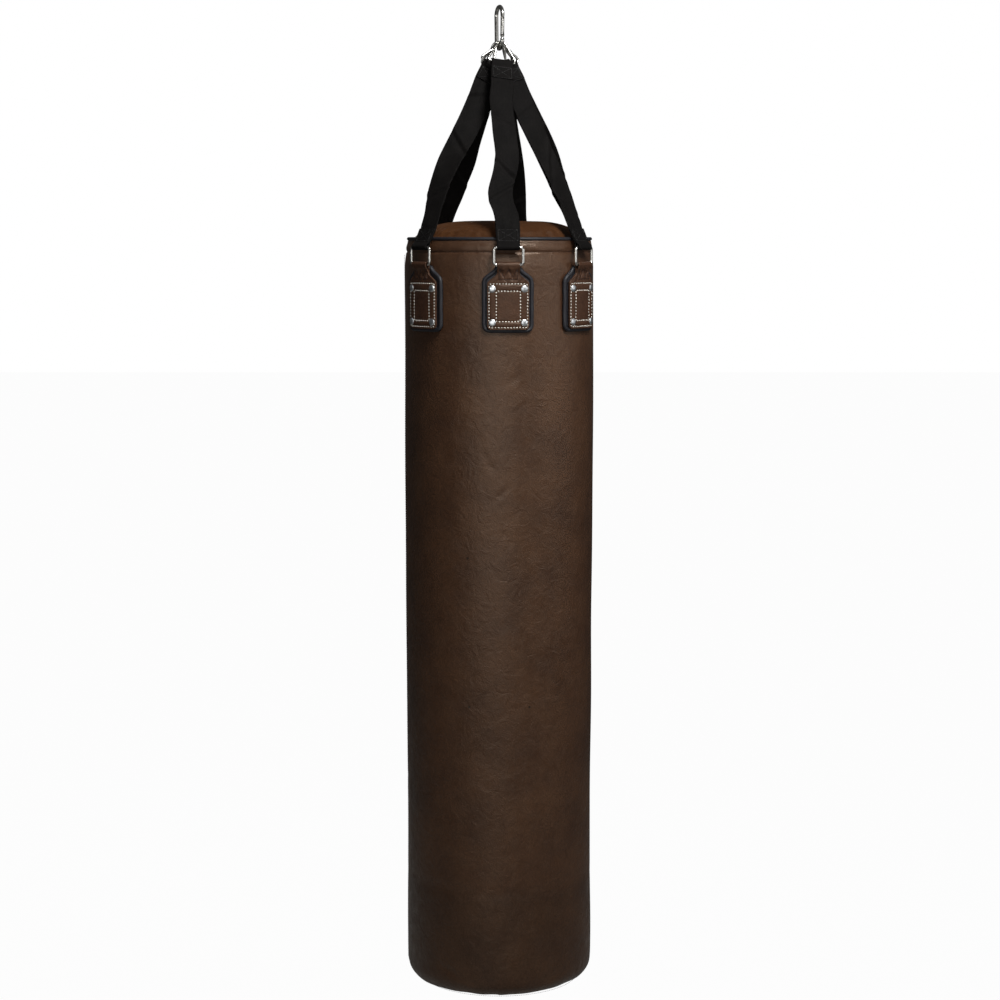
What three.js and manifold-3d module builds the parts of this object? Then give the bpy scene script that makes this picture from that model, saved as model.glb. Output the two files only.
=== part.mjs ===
// A hanging heavy bag: a stuffed leather cylinder carried by six webbing straps on one snap hook.
//
// Millimetres, +Z up. The origin is the point on the inner crown of the snap hook where the hook that
// carries the bag bears. Angles round the bag are measured from the front (-Y) towards +X. The bag's own
// heights are measured from its rim. At each tab a "station" frame is turned to the tab's angle, so that
// there X runs round the bag and -Y points straight out of it.

import * as THREE from 'three';
import { mergeVertices } from 'three/addons/utils/BufferGeometryUtils.js';
import Module from 'manifold-3d';

const wasm = await Module();
wasm.setup();

// ---------------------------------------------------------------------------------------------------
// Driving dimensions
// ---------------------------------------------------------------------------------------------------

const clearance = 0.3; // between pieces that touch

// Bag
const hangPointToRim = 459;
const bagHeight = 1532;
const bagRadius = 191;
const mouthDraw = 5; // how much smaller the mouth's radius is
const baseDraw = 3; // and the base's
const mouthTaper = 50; // the mouth draws in over this height
const straightHeight = 700; // from the rim to where the bag starts to narrow
const baseRounding = 30;
const leatherThickness = 3;
const bagSides = 44;

// Top cap and the piping round it
const pipingDiameter = 7;
const domeHeight = 34;
const domeDraw = 16; // how much smaller the dome's radius is than the bag's
const domePower = 4.5; // how flat the dome's middle is
const capDepth = 22; // how far the cap reaches into the bag

// Pad behind each tab
const tabAngles = [-50, 5, 55, 121, 169, 221];
const padWidth = 107;
const padTop = 52;
const padBottom = 183;
const padShoulder = 82; // where the full width starts
const padNeckWidth = 57;
const padNeckHeight = 8;
const padCorner = 12;
const padThickness = 6;
const plateSides = 80; // facets of the curved plates, counted round the whole bag

// Leather tab
const tabWidth = 83;
const tabBottom = 177;
const tabShoulder = 86;
const tabNeckEnd = 70;
const tabNeckWidth = 44;
const tabCorner = 8;
const tabLayer = 2.6; // one layer of leather; the tab is two

// Rivets
const rivetSpacingAcross = 63.5;
const rivetSpacingDown = 66;
const rivetTop = 97;
const rivetHeadDiameter = 14;
const rivetHeadHeight = 3.4;
const rivetShankDiameter = 4;
const rivetBurrDiameter = 9;
const rivetBurrThickness = 1.5;
const drillReach = 20; // how far a rivet's hole is drilled inside the bag's face and outside the tab's

// Rectangular ring at each tab
const ringWire = 6;
const ringHeight = 34; // between the centres of its two bars
const ringTop = 16.5; // rim to the upper bar
const ringCorner = 6;

// Webbing straps
const webbingWidth = 48;
const webbingThickness = 2.5;
const gatheredShare = 0.93; // of the webbing's width, where it bunches in a ring
const foldBack = 38; // length of the sewn, doubled ends
const loopTail = 6; // a loop round a bar tapers to the flat band over this length below its eye
const footBend = 1 / 6; // share of a strap's span over which it turns from square to its ring's bar
const headBend = 1 / 8; // the same at its upper end
const tuck = 0.2; // a joined piece's faces lie this far inside its neighbour's, so that none coincide

// Triangular rings at the top
const deltaWire = 4.5;
const deltaLength = 45; // from the wire at the apex to the base bar
const deltaBaseCorner = 5;
const crowding = 1.1; // a ring leans this many times as far as its strap: its neighbours push it aside
const swingRoom = 4.5; // between the apex and the hook's rod, on each side

// Snap hook
const hookTurn = 20; // degrees, from facing sideways
const rodDiameter = 8;
const hookLength = 91;
const bendInnerRadius = 12.3;
const crownInnerRadius = 14;
const pinAboveBend = 10; // gate's pin, above the centre of the lower bend
const noseBelowCrown = 16; // nose joint, below the bearing point
const gateDiameter = 7.6;
const tongueThickness = 3.4;
const pinDiameter = 3;
const pinHeadReach = 0.3; // each end of the pin stands this far out of the gate
const cut = 1; // how far a cutting or joined block runs past the surface it meets

// ---------------------------------------------------------------------------------------------------
// Values worked out from them
// ---------------------------------------------------------------------------------------------------

const degrees = THREE.MathUtils.degToRad;

const mouthRadius = bagRadius - mouthDraw;
const baseRadius = bagRadius - baseDraw;
const domeRadius = bagRadius - domeDraw;

// Radii of the layers sewn and riveted to the bag, from the inside out
const padInner = (bagRadius + clearance) / Math.cos(Math.PI / plateSides);
const padOuter = padInner + padThickness;
const tabInner = padOuter + clearance;
const tabOuter = tabInner + 2 * tabLayer;
const tabEyeRadius = ringWire / 2 + clearance + tabLayer;
const ringRadius = tabInner + tabEyeRadius; // distance of the ring from the bag's axis
const shellTop = -(pipingDiameter / 2 + clearance);

// The tab's ring is as wide inside as the webbing gathered in it
const gatheredWidth = webbingWidth * gatheredShare;
const ringWidth = gatheredWidth + 2 * (ringCorner + clearance); // between its side bars' centres

// Snap hook: a bend and a crown joined by two straight sides that lean outwards
const bendRadius = bendInnerRadius + rodDiameter / 2;
const crownRadius = crownInnerRadius + rodDiameter / 2;
const crownCentre = -crownInnerRadius;
const bendCentre = 1.5 * rodDiameter - hookLength + bendRadius;
const sideLean = Math.asin((crownRadius - bendRadius) / (crownCentre - bendCentre));

// The delta rings lie side by side on the inside of the bend
const saddleRadius = bendInnerRadius - clearance - deltaWire / 2;
const saddleStep = 2 * Math.asin((deltaWire + clearance) / 2 / saddleRadius);
const apexRadius = rodDiameter / 2 + deltaWire / 2 + swingRoom;
const deltaEyeRadius = deltaWire / 2 + clearance + webbingThickness;
const deltaPitch = 2 * (deltaEyeRadius + clearance); // between neighbouring base bars

// ---------------------------------------------------------------------------------------------------
// Materials
// ---------------------------------------------------------------------------------------------------

const finish = (color, roughness, metalness) =>
  new THREE.MeshStandardMaterial({ color, roughness, metalness });
const brownLeather = finish(0x46301f, 0.5, 0);
const capLeather = finish(0x5a3520, 0.5, 0);
const tabLeather = finish(0x45291d, 0.4, 0);
const blackVinyl = finish(0x17171a, 0.35, 0);
const textile = finish(0x8a8479, 0.95, 0);
const blackWebbing = finish(0x131212, 0.85, 0);
const nickel = finish(0xc4c2bd, 0.2, 1);
const steel = finish(0xb5b2ab, 0.28, 1);

// ---------------------------------------------------------------------------------------------------
// Solids
// ---------------------------------------------------------------------------------------------------

// A closed geometry as a solid that can be joined and cut
function toSolid(geometry) {
  const bare = new THREE.BufferGeometry();
  bare.setAttribute('position', geometry.getAttribute('position'));
  bare.setIndex(geometry.index);
  const merged = mergeVertices(bare, 1e-3);
  return new wasm.Manifold(
    new wasm.Mesh({
      numProp: 3,
      vertProperties: merged.getAttribute('position').array,
      triVerts: new Uint32Array(merged.index.array),
    }),
  );
}

// A solid as a geometry again
function toGeometry(solid) {
  const { vertProperties, triVerts } = solid.getMesh();
  const geometry = new THREE.BufferGeometry();
  geometry.setAttribute('position', new THREE.BufferAttribute(new Float32Array(vertProperties), 3));
  geometry.setIndex(new THREE.BufferAttribute(new Uint32Array(triVerts), 1));
  geometry.computeVertexNormals();
  return geometry;
}

// A profile of [radius, height] pairs turned round Z; the outer wall runs upwards
function turned(profile, sides) {
  const points = profile.map(([radius, height]) => new THREE.Vector2(radius, height));
  return new THREE.LatheGeometry(points, sides).rotateX(Math.PI / 2);
}

// A shape drawn in X and Z, carried from Y = -from to Y = -to
function carriedOut(shape, from, to) {
  const block = new THREE.ExtrudeGeometry(shape, { depth: to - from, bevelEnabled: false, curveSegments: 4 });
  return block.rotateX(Math.PI / 2).translate(0, -from, 0);
}

// A box between two corners
function boxBetween(low, high) {
  const size = high.map((value, axis) => value - low[axis]);
  const middle = high.map((value, axis) => (value + low[axis]) / 2);
  return new THREE.BoxGeometry(...size).translate(...middle);
}

// A cylinder along X
const barAlongX = (diameter, length, sides) =>
  new THREE.CylinderGeometry(diameter / 2, diameter / 2, length, sides).rotateZ(Math.PI / 2);

// The direction of an outline at one of its points: the mean of the two stretches that meet there
function directionAt(outline, station, closed) {
  const last = outline.length - 1;
  const before = outline[closed ? (station + last) % outline.length : Math.max(station - 1, 0)];
  const after = outline[closed ? (station + 1) % outline.length : Math.min(station + 1, last)];
  const here = outline[station];
  const arriving = here.clone().sub(before).normalize();
  const leaving = after.clone().sub(here).normalize();
  return arriving.add(leaving).normalize();
}

// Moves each ring of vertices of a tube onto an outline drawn in X and Z
function laidAlong(geometry, outline, closed, stationOf, sectionOf) {
  const position = geometry.getAttribute('position');
  for (let k = 0; k < position.count; k++) {
    const station = stationOf(k);
    const [outwards, sideways] = sectionOf(k);
    const along = directionAt(outline, station, closed);
    const here = outline[station];
    position.setXYZ(k, here.x + along.y * outwards, sideways, here.y - along.x * outwards);
  }
  return geometry;
}

// A wire along a closed outline: a torus laid along it
function closedWire(outline, diameter, sides) {
  const geometry = new THREE.TorusGeometry(1, 0.5, sides, outline.length);
  const uv = geometry.getAttribute('uv');
  const stationOf = (k) => Math.round(uv.getX(k) * outline.length) % outline.length;
  const sectionOf = (k) => {
    const turn = uv.getY(k) * 2 * Math.PI;
    return [(Math.cos(turn) * diameter) / 2, (-Math.sin(turn) * diameter) / 2];
  };
  return laidAlong(geometry, outline, true, stationOf, sectionOf);
}

// A rod along an open outline: a capped cylinder laid along it
function openWire(outline, diameter, sides) {
  const stretches = outline.length - 1;
  const geometry = new THREE.CylinderGeometry(diameter / 2, diameter / 2, stretches, sides, stretches);
  const drawn = geometry.getAttribute('position').clone();
  const stationOf = (k) => Math.round(stretches / 2 - drawn.getY(k));
  const sectionOf = (k) => [drawn.getX(k), drawn.getZ(k)];
  return laidAlong(geometry, outline, false, stationOf, sectionOf);
}

// The outline of a loop sewn round a bar: a round eye whose two sides run down to a flat tail.
// The bar is at the origin and the tail points down; tail gives its two faces and its end.
function eyeShape(outerRadius, innerRadius, tail) {
  const shape = new THREE.Shape();
  shape.moveTo(outerRadius, 0);
  shape.absarc(0, 0, outerRadius, 0, Math.PI, false);
  shape.lineTo(tail.low, -tail.length);
  shape.lineTo(tail.high, -tail.length);
  shape.closePath();
  const hole = new THREE.Path();
  hole.absarc(0, 0, innerRadius, 0, 2 * Math.PI, true);
  shape.holes.push(hole);
  return shape;
}

// An eye as a solid: across is its face's direction, away points from the tail to the bar
function eyeSolid(shape, width, across, away, centre) {
  const block = new THREE.ExtrudeGeometry(shape, { depth: width, bevelEnabled: false, curveSegments: 4 });
  block.translate(0, 0, -width / 2);
  const place = new THREE.Matrix4().makeBasis(across, away, across.clone().cross(away)).setPosition(centre);
  return toSolid(block.applyMatrix4(place));
}

// ---------------------------------------------------------------------------------------------------
// Bag
// ---------------------------------------------------------------------------------------------------

// The bag's base and side, this far inside its outer face, from the axis to the mouth
function bagProfile(inset, top) {
  const roundingCentre = [baseRadius - baseRounding, baseRounding - bagHeight];
  const profile = [[0, inset - bagHeight]];
  const steps = 4;
  for (let step = 0; step <= steps; step++) {
    const turn = (step / steps) * (Math.PI / 2);
    profile.push([
      roundingCentre[0] + Math.sin(turn) * (baseRounding - inset),
      roundingCentre[1] - Math.cos(turn) * (baseRounding - inset),
    ]);
  }
  profile.push([bagRadius - inset, -straightHeight], [bagRadius - inset, -mouthTaper], [mouthRadius - inset, top]);
  return profile;
}

// Turns a rivet or its hole, drawn along Z, to point out of a station, and puts it at its corner of the tab
function atRivet(geometry, corner) {
  const offAngle = (corner.side * rivetSpacingAcross) / 2 / tabOuter;
  const height = -rivetTop - corner.row * rivetSpacingDown;
  return geometry.rotateX(Math.PI / 2).rotateZ(offAngle).translate(0, 0, height);
}

const rivetCorners = [
  { name: 'upper_left', side: -1, row: 0 },
  { name: 'upper_right', side: 1, row: 0 },
  { name: 'lower_left', side: -1, row: 1 },
  { name: 'lower_right', side: 1, row: 1 },
];

// The clearance holes of one station's rivets, from the filling out past the tab
function rivetHoles() {
  const sides = 6;
  const radius = (rivetShankDiameter / 2 + clearance) / Math.cos(Math.PI / sides);
  const start = bagRadius - drillReach;
  const length = tabOuter + drillReach - start;
  return rivetCorners.map((corner) => {
    const drill = new THREE.CylinderGeometry(radius, radius, length, sides).rotateX(Math.PI / 2);
    return toSolid(atRivet(drill.translate(0, 0, start + length / 2), corner));
  });
}

// The same holes turned to a station's angle
const holesAt = (angle) => rivetHoles().map((hole) => hole.rotate([0, 0, angle]));

function shell() {
  const outside = bagProfile(0, shellTop);
  const inside = bagProfile(leatherThickness, shellTop).reverse();
  const wall = toSolid(turned([...outside, ...inside], bagSides));
  return tabAngles.flatMap(holesAt).reduce((solid, hole) => solid.subtract(hole), wall);
}

// Room inside the leather for the rivets' inner heads and the corners between the shell's facets
const facetDepth = bagRadius * (1 - Math.cos(Math.PI / bagSides));
const burrFace = bagRadius - leatherThickness - facetDepth - clearance;

function filling() {
  const inset = leatherThickness + facetDepth + rivetBurrThickness + 2 * clearance;
  const top = -capDepth - clearance;
  return toSolid(turned([...bagProfile(inset, top), [0, top]], bagSides));
}

// Padded lid: a plug inside the mouth, the piping on the mouth's edge, and the dome
function topCap() {
  const plugRadius = mouthRadius - leatherThickness - clearance;
  const pipingRadius = mouthRadius - pipingDiameter / 4;
  const bead = pipingDiameter / 2;
  const profile = [[0, -capDepth], [plugRadius, -capDepth], [plugRadius, -bead]];
  const beadSteps = 5;
  const beadTurn = degrees(198); // round the bead, from its underside to where it meets the dome
  for (let step = 1; step < beadSteps; step++) {
    const turn = (step / beadSteps) * beadTurn - Math.PI / 2;
    profile.push([pipingRadius + Math.cos(turn) * bead, Math.sin(turn) * bead]);
  }
  for (const share of [1, 0.97, 0.88, 0.68]) {
    profile.push([domeRadius * share, domeHeight * (1 - share ** domePower)]);
  }
  profile.push([0, domeHeight]);
  return toSolid(turned(profile, bagSides));
}

// ---------------------------------------------------------------------------------------------------
// Pad, tab, ring and rivets at one station
// ---------------------------------------------------------------------------------------------------

// A plate outline with a neck and sloping shoulders; depths run down from the rim
function bottleShape({ width, bottom, shoulder, neckEnd, neckWidth, top, corner }) {
  const half = width / 2;
  const neckHalf = neckWidth / 2;
  const shape = new THREE.Shape();
  shape.moveTo(corner - half, -bottom);
  shape.lineTo(half - corner, -bottom);
  shape.absarc(half - corner, corner - bottom, corner, -Math.PI / 2, 0, false);
  shape.lineTo(half, -shoulder);
  shape.lineTo(neckHalf, -neckEnd);
  shape.lineTo(neckHalf, -top);
  shape.lineTo(-neckHalf, -top);
  shape.lineTo(-neckHalf, -neckEnd);
  shape.lineTo(-half, -shoulder);
  shape.lineTo(-half, corner - bottom);
  shape.absarc(corner - half, corner - bottom, corner, Math.PI, 1.5 * Math.PI, false);
  return shape;
}

// A plate of that outline, bent to lie round the bag
function bentPlate(outline, inner, outer) {
  const low = -outline.bottom - cut;
  const high = cut - outline.top;
  const band = turned([[inner, low], [outer, low], [outer, high], [inner, high], [inner, low]], plateSides);
  const prism = carriedOut(bottleShape(outline), inner / 2, outer + cut);
  return toSolid(band).intersect(toSolid(prism));
}

const padOutline = {
  width: padWidth,
  bottom: padBottom,
  shoulder: padShoulder,
  neckEnd: padTop + padNeckHeight,
  neckWidth: padNeckWidth,
  top: padTop,
  corner: padCorner,
};

const tabEyeTail = ringWire + loopTail;
const lowerBar = -(ringTop + ringHeight);
const tabOutline = {
  width: tabWidth,
  bottom: tabBottom,
  shoulder: tabShoulder,
  neckEnd: tabNeckEnd,
  neckWidth: tabNeckWidth,
  top: tabEyeTail - cut - lowerBar,
  corner: tabCorner,
};

const drilled = (solid) => rivetHoles().reduce((piece, hole) => piece.subtract(hole), solid);

const pad = () => drilled(bentPlate(padOutline, padInner, padOuter));

// Two layers of leather sewn together below the ring, with the eye that holds its lower bar
function tab() {
  const plate = bentPlate(tabOutline, tabInner, tabOuter);
  const tail = { low: tabInner - ringRadius, high: tabOuter - ringRadius, length: tabEyeTail };
  const eye = eyeSolid(
    eyeShape(tabEyeRadius, ringWire / 2 + clearance, tail),
    tabNeckWidth,
    new THREE.Vector3(0, -1, 0),
    new THREE.Vector3(0, 0, 1),
    new THREE.Vector3(0, -ringRadius, lowerBar),
  );
  return drilled(plate.add(eye));
}

// A rounded rectangle of wire, standing in X and Z round the middle of the two bars
function bagRing() {
  const half = ringWidth / 2;
  const rise = ringHeight / 2;
  const outline = [];
  for (const [side, end, start] of [[1, -1, -0.5], [1, 1, 0], [-1, 1, 0.5], [-1, -1, 1]]) {
    for (let step = 0; step <= 3; step++) {
      const turn = Math.PI * (start + step / 6);
      outline.push(
        new THREE.Vector2(
          side * (half - ringCorner) + Math.cos(turn) * ringCorner,
          end * (rise - ringCorner) + Math.sin(turn) * ringCorner,
        ),
      );
    }
  }
  return toSolid(closedWire(outline, ringWire, 6)).translate([0, -ringRadius, -ringTop - rise]);
}

// Domed head outside the tab, shank through every layer, and the burr that closes it inside the shell
function rivet(corner) {
  const burr = rivetBurrDiameter / 2;
  const shank = rivetShankDiameter / 2;
  const head = rivetHeadDiameter / 2;
  const seat = tabOuter + clearance;
  const profile = [
    [0, burrFace - rivetBurrThickness],
    [burr, burrFace - rivetBurrThickness],
    [burr, burrFace],
    [shank, burrFace],
    [shank, seat],
    [head, seat],
    [head * 0.7, seat + rivetHeadHeight * 0.8],
    [0, seat + rivetHeadHeight],
  ];
  return toSolid(atRivet(turned(profile, 8), corner));
}

// ---------------------------------------------------------------------------------------------------
// Snap hook: drawn facing sideways, with its eye in Y and Z and its gate at the front
// ---------------------------------------------------------------------------------------------------

// The gate stands on the hook's front side, which leans outwards; the pin is its foot
const pinFoot = new THREE.Vector2(
  -bendRadius / Math.cos(sideLean) - pinAboveBend * Math.tan(sideLean),
  bendCentre + pinAboveBend,
);
const onGateLine = (distance) =>
  new THREE.Vector2(pinFoot.x - Math.sin(sideLean) * distance, pinFoot.y + Math.cos(sideLean) * distance);

const rodEnd = gateDiameter / 2 + 2; // the rod and the gate's cheeks stop short of each other below the pin
const noseEnd = (-noseBelowCrown - pinFoot.y) / Math.cos(sideLean);
const gateEnd = noseEnd - 2 * clearance;
const noseTongueLength = 4.5;
const tongueReach = gateDiameter / 2; // of the lower tongue, above the pin
const slotWidth = tongueThickness + 2 * clearance;

// Puts a geometry drawn with the pin at the origin and Z up the gate into the hook
const atGate = (geometry) => geometry.rotateX(sideLean).translate(0, pinFoot.x, pinFoot.y);

// The rod's centreline in Y and Z: from below the pin, round the bend, up the back, over the crown, to the nose
function hookOutline() {
  const steps = 12;
  const front = Math.PI + sideLean;
  const arc = (centre, radius, start, end) =>
    Array.from({ length: steps + 1 }, (_, step) => {
      const turn = start + ((end - start) * step) / steps;
      return new THREE.Vector2(Math.cos(turn) * radius, centre + Math.sin(turn) * radius);
    });
  return [
    onGateLine(-rodEnd),
    ...arc(bendCentre, bendRadius, front, 2 * Math.PI - sideLean),
    ...arc(crownCentre, crownRadius, -sideLean, front),
    onGateLine(noseEnd),
  ];
}

// The bent rod, with a flat tongue at each end: the lower one carries the pin, the upper one meets the gate
function hookBody() {
  const rod = toSolid(openWire(hookOutline(), rodDiameter, 10).rotateZ(Math.PI / 2));
  const half = tongueThickness / 2;
  const depth = gateDiameter / 2 - tuck;
  const lowerTongue = boxBetween([-half, -depth, -rodEnd - cut], [half, depth, tongueReach]);
  const upperTongue = boxBetween([-half, -depth, noseEnd - noseTongueLength], [half, depth, noseEnd + cut]);
  const pinHole = barAlongX(pinDiameter + 2 * clearance, gateDiameter, 12);
  return rod
    .add(toSolid(atGate(lowerTongue)))
    .add(toSolid(atGate(upperTongue)))
    .subtract(toSolid(atGate(pinHole)));
}

// A round bar forked at both ends, over the two tongues
function gate() {
  const foot = -gateDiameter / 2;
  const bar = new THREE.CylinderGeometry(gateDiameter / 2, gateDiameter / 2, gateEnd - foot, 14);
  bar.rotateX(Math.PI / 2).translate(0, 0, (gateEnd + foot) / 2);
  const half = slotWidth / 2;
  const reach = gateDiameter;
  const swept = Math.hypot(tongueReach, gateDiameter / 2) + clearance;
  const lowerSlot = boxBetween([-half, -reach, foot - cut], [half, reach, swept]);
  const upperSlotFloor = noseEnd - noseTongueLength - 3 * clearance;
  const upperSlot = boxBetween([-half, -reach, upperSlotFloor], [half, reach, gateEnd + cut]);
  const pinHole = barAlongX(pinDiameter + 2 * clearance, 2 * gateDiameter, 12);
  return toSolid(atGate(bar))
    .subtract(toSolid(atGate(lowerSlot)))
    .subtract(toSolid(atGate(upperSlot)))
    .subtract(toSolid(atGate(pinHole)));
}

const gatePin = () => toSolid(atGate(barAlongX(pinDiameter, gateDiameter + 2 * pinHeadReach, 12)));

// ---------------------------------------------------------------------------------------------------
// Delta rings on the hook's bend, and the straps that hang from them
// ---------------------------------------------------------------------------------------------------

const turnAboutZ = (vector, angle) => vector.clone().applyAxisAngle(new THREE.Vector3(0, 0, 1), angle);
const hookAngle = degrees(hookTurn);

// Front to back, the angle of the tab that each delta ring serves
const saddleOrder = [5, 55, -50, 121, 221, 169];

// Where a strap leaves its tab's ring
const strapFoot = (angle) =>
  turnAboutZ(new THREE.Vector3(0, -ringRadius, -hangPointToRim - ringTop), degrees(angle));

// One delta ring's place in the hook's frame: the middle of its apex, the direction up its plane and the
// direction of its base bar. It leans within its plane, a little further than its strap does.
function deltaPlace(angle) {
  const place = saddleOrder.indexOf(angle) - (saddleOrder.length - 1) / 2;
  const onBend = place * saddleStep;
  const apex = new THREE.Vector3(0, Math.sin(onBend) * saddleRadius, bendCentre - Math.cos(onBend) * saddleRadius);
  const spread = place * deltaPitch - apex.y;
  const down = new THREE.Vector3(0, spread, -Math.sqrt(deltaLength ** 2 - spread ** 2)).normalize();
  const target = turnAboutZ(strapFoot(angle), -hookAngle).sub(apex);
  const lean = crowding * Math.atan2(target.x, target.dot(down));
  const sideways = new THREE.Vector3(1, 0, 0);
  const across = sideways.clone().multiplyScalar(Math.cos(lean)).addScaledVector(down, -Math.sin(lean));
  const up = down.clone().multiplyScalar(-Math.cos(lean)).addScaledVector(sideways, -Math.sin(lean));
  const middle = apex.clone().addScaledVector(down, apexRadius);
  return { middle, across, up };
}

// The delta ring's outline with the middle of its apex at the origin and its base below
function deltaOutline() {
  const arc = (x, z, radius, start, end, steps) =>
    Array.from({ length: steps + 1 }, (_, step) => {
      const turn = start + ((end - start) * step) / steps;
      return new THREE.Vector2(x + Math.cos(turn) * radius, z + Math.sin(turn) * radius);
    });
  const cornerX = gatheredWidth / 2 + clearance;
  const cornerZ = deltaBaseCorner + apexRadius - deltaLength;
  // the direction square to the straight side, which touches the apex arc and the corner arc
  const square =
    Math.atan2(cornerZ, cornerX) + Math.acos((apexRadius - deltaBaseCorner) / Math.hypot(cornerX, cornerZ));
  return [
    ...arc(cornerX, cornerZ, deltaBaseCorner, -Math.PI / 2, square, 4),
    ...arc(0, 0, apexRadius, square, Math.PI - square, 6),
    ...arc(-cornerX, cornerZ, deltaBaseCorner, Math.PI - square, 1.5 * Math.PI, 4),
  ];
}

// The delta ring of one tab, in the hook's frame
function deltaRing(angle) {
  const { middle, across, up } = deltaPlace(angle);
  const place = new THREE.Matrix4().makeBasis(across, up.clone().cross(across), up).setPosition(middle);
  return toSolid(closedWire(deltaOutline(), deltaWire, 6).applyMatrix4(place));
}

// A strap's two bars, the directions of their length, and the directions in which the strap leaves them
function strapEnds(angle) {
  const { middle, across, up } = deltaPlace(angle);
  const base = middle.clone().addScaledVector(up, apexRadius - deltaLength);
  const foot = strapFoot(angle);
  const head = turnAboutZ(base, hookAngle);
  const footBar = turnAboutZ(new THREE.Vector3(1, 0, 0), degrees(angle));
  const headBar = turnAboutZ(across, hookAngle);
  if (headBar.dot(footBar) < 0) headBar.negate();
  const straight = head.clone().sub(foot);
  const squareTo = (bar) => straight.clone().addScaledVector(bar, -straight.dot(bar)).normalize();
  return { foot, head, footBar, headBar, footLeaving: squareTo(footBar), headArriving: squareTo(headBar) };
}

// Webbing that turns from its tab's ring to its delta ring, doubled and gathered at both ends
function strap(angle) {
  const { foot, head, footBar, headBar, footLeaving, headArriving } = strapEnds(angle);
  const span = foot.distanceTo(head);
  const line = new THREE.CubicBezierCurve3(
    foot,
    foot.clone().addScaledVector(footLeaving, span * footBend),
    head.clone().addScaledVector(headArriving, -span * headBend),
    head,
  );
  const length = line.getLength();
  const footEye = ringWire / 2 + clearance + webbingThickness;
  const start = footEye + cut;
  const end = length - deltaEyeRadius - cut;
  const step = 1.5; // length over which a doubled end thins to one layer
  const turns = 20; // enough that the twist between two stations is small beside the thickness
  const free = Array.from({ length: turns - 1 }, (_, k) =>
    THREE.MathUtils.lerp(foldBack + step, length - foldBack - step, (k + 1) / turns),
  );
  const stations = [
    start, foldBack / 2, foldBack, foldBack + step,
    ...free,
    length - foldBack - step, length - foldBack, length - foldBack / 2, end,
  ];
  const band = new THREE.BoxGeometry(1, 1, 1, 1, 1, stations.length - 1);
  const position = band.getAttribute('position');
  for (let k = 0; k < position.count; k++) {
    const along = stations[Math.round((position.getZ(k) + 0.5) * (stations.length - 1))];
    const fromEnd = Math.min(along, length - along);
    const share = along / length;
    const centre = line.getPointAt(share);
    const tangent = line.getTangentAt(share);
    const turned = THREE.MathUtils.smoothstep(along, foldBack / 2, length - foldBack / 2);
    const across = footBar.clone().lerp(headBar, turned);
    across.addScaledVector(tangent, -across.dot(tangent)).normalize();
    const face = tangent.clone().cross(across);
    const spread = THREE.MathUtils.smoothstep(fromEnd, start, foldBack);
    const width = THREE.MathUtils.lerp(gatheredWidth, webbingWidth, spread);
    const thickness = webbingThickness * (fromEnd > foldBack ? 1 : 2);
    centre.addScaledVector(across, position.getX(k) * width);
    centre.addScaledVector(face, position.getY(k) * thickness);
    position.setXYZ(k, centre.x, centre.y, centre.z);
  }
  const loop = (bar, wire, centre, away) => {
    const outer = wire / 2 + clearance + webbingThickness;
    const face = webbingThickness - tuck;
    const tail = { low: -face, high: face, length: outer + loopTail };
    const across = away.clone().cross(bar);
    const width = gatheredWidth - 2 * tuck;
    return eyeSolid(eyeShape(outer, wire / 2 + clearance, tail), width, across, away, centre);
  };
  return toSolid(band)
    .add(loop(footBar, ringWire, foot, footLeaving.clone().negate()))
    .add(loop(headBar, deltaWire, head, headArriving));
}

// ---------------------------------------------------------------------------------------------------
// Assembly
// ---------------------------------------------------------------------------------------------------

const stationNames = ['front_left', 'front', 'front_right', 'back_right', 'back', 'back_left'];

function piece(name, solid, material) {
  const mesh = new THREE.Mesh(toGeometry(solid), material);
  mesh.name = name;
  return mesh;
}

const group = new THREE.Group();

const bag = new THREE.Group();
bag.position.z = -hangPointToRim;
bag.add(piece('shell', shell(), brownLeather));
bag.add(piece('filling', filling(), textile));
bag.add(piece('top_cap', topCap(), capLeather));
group.add(bag);

const hook = new THREE.Group();
hook.rotation.z = hookAngle;
hook.add(piece('carabiner_body', hookBody(), steel));
hook.add(piece('carabiner_gate', gate(), steel));
hook.add(piece('gate_pin', gatePin(), steel));
group.add(hook);

tabAngles.forEach((angle, index) => {
  const where = stationNames[index];
  const station = new THREE.Group();
  station.rotation.z = degrees(angle);
  station.add(piece(`pad_${where}`, pad(), blackVinyl));
  station.add(piece(`tab_${where}`, tab(), tabLeather));
  station.add(piece(`ring_${where}`, bagRing(), nickel));
  for (const corner of rivetCorners) {
    station.add(piece(`rivet_${where}_${corner.name}`, rivet(corner), nickel));
  }
  bag.add(station);
  hook.add(piece(`delta_ring_${where}`, deltaRing(angle), nickel));
  group.add(piece(`strap_${where}`, strap(angle), blackWebbing));
});

export default group;
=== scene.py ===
"""A hanging heavy bag: the finished leather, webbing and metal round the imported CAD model.

Metres, +Z up, -Y is the front. Angles round the bag run from the front towards +X. Heights on the bag are
measured from its rim, upwards. The script is laid out as an add-on: one operator makes each group of
pieces, and main() calls them in order.
"""

import math

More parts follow.
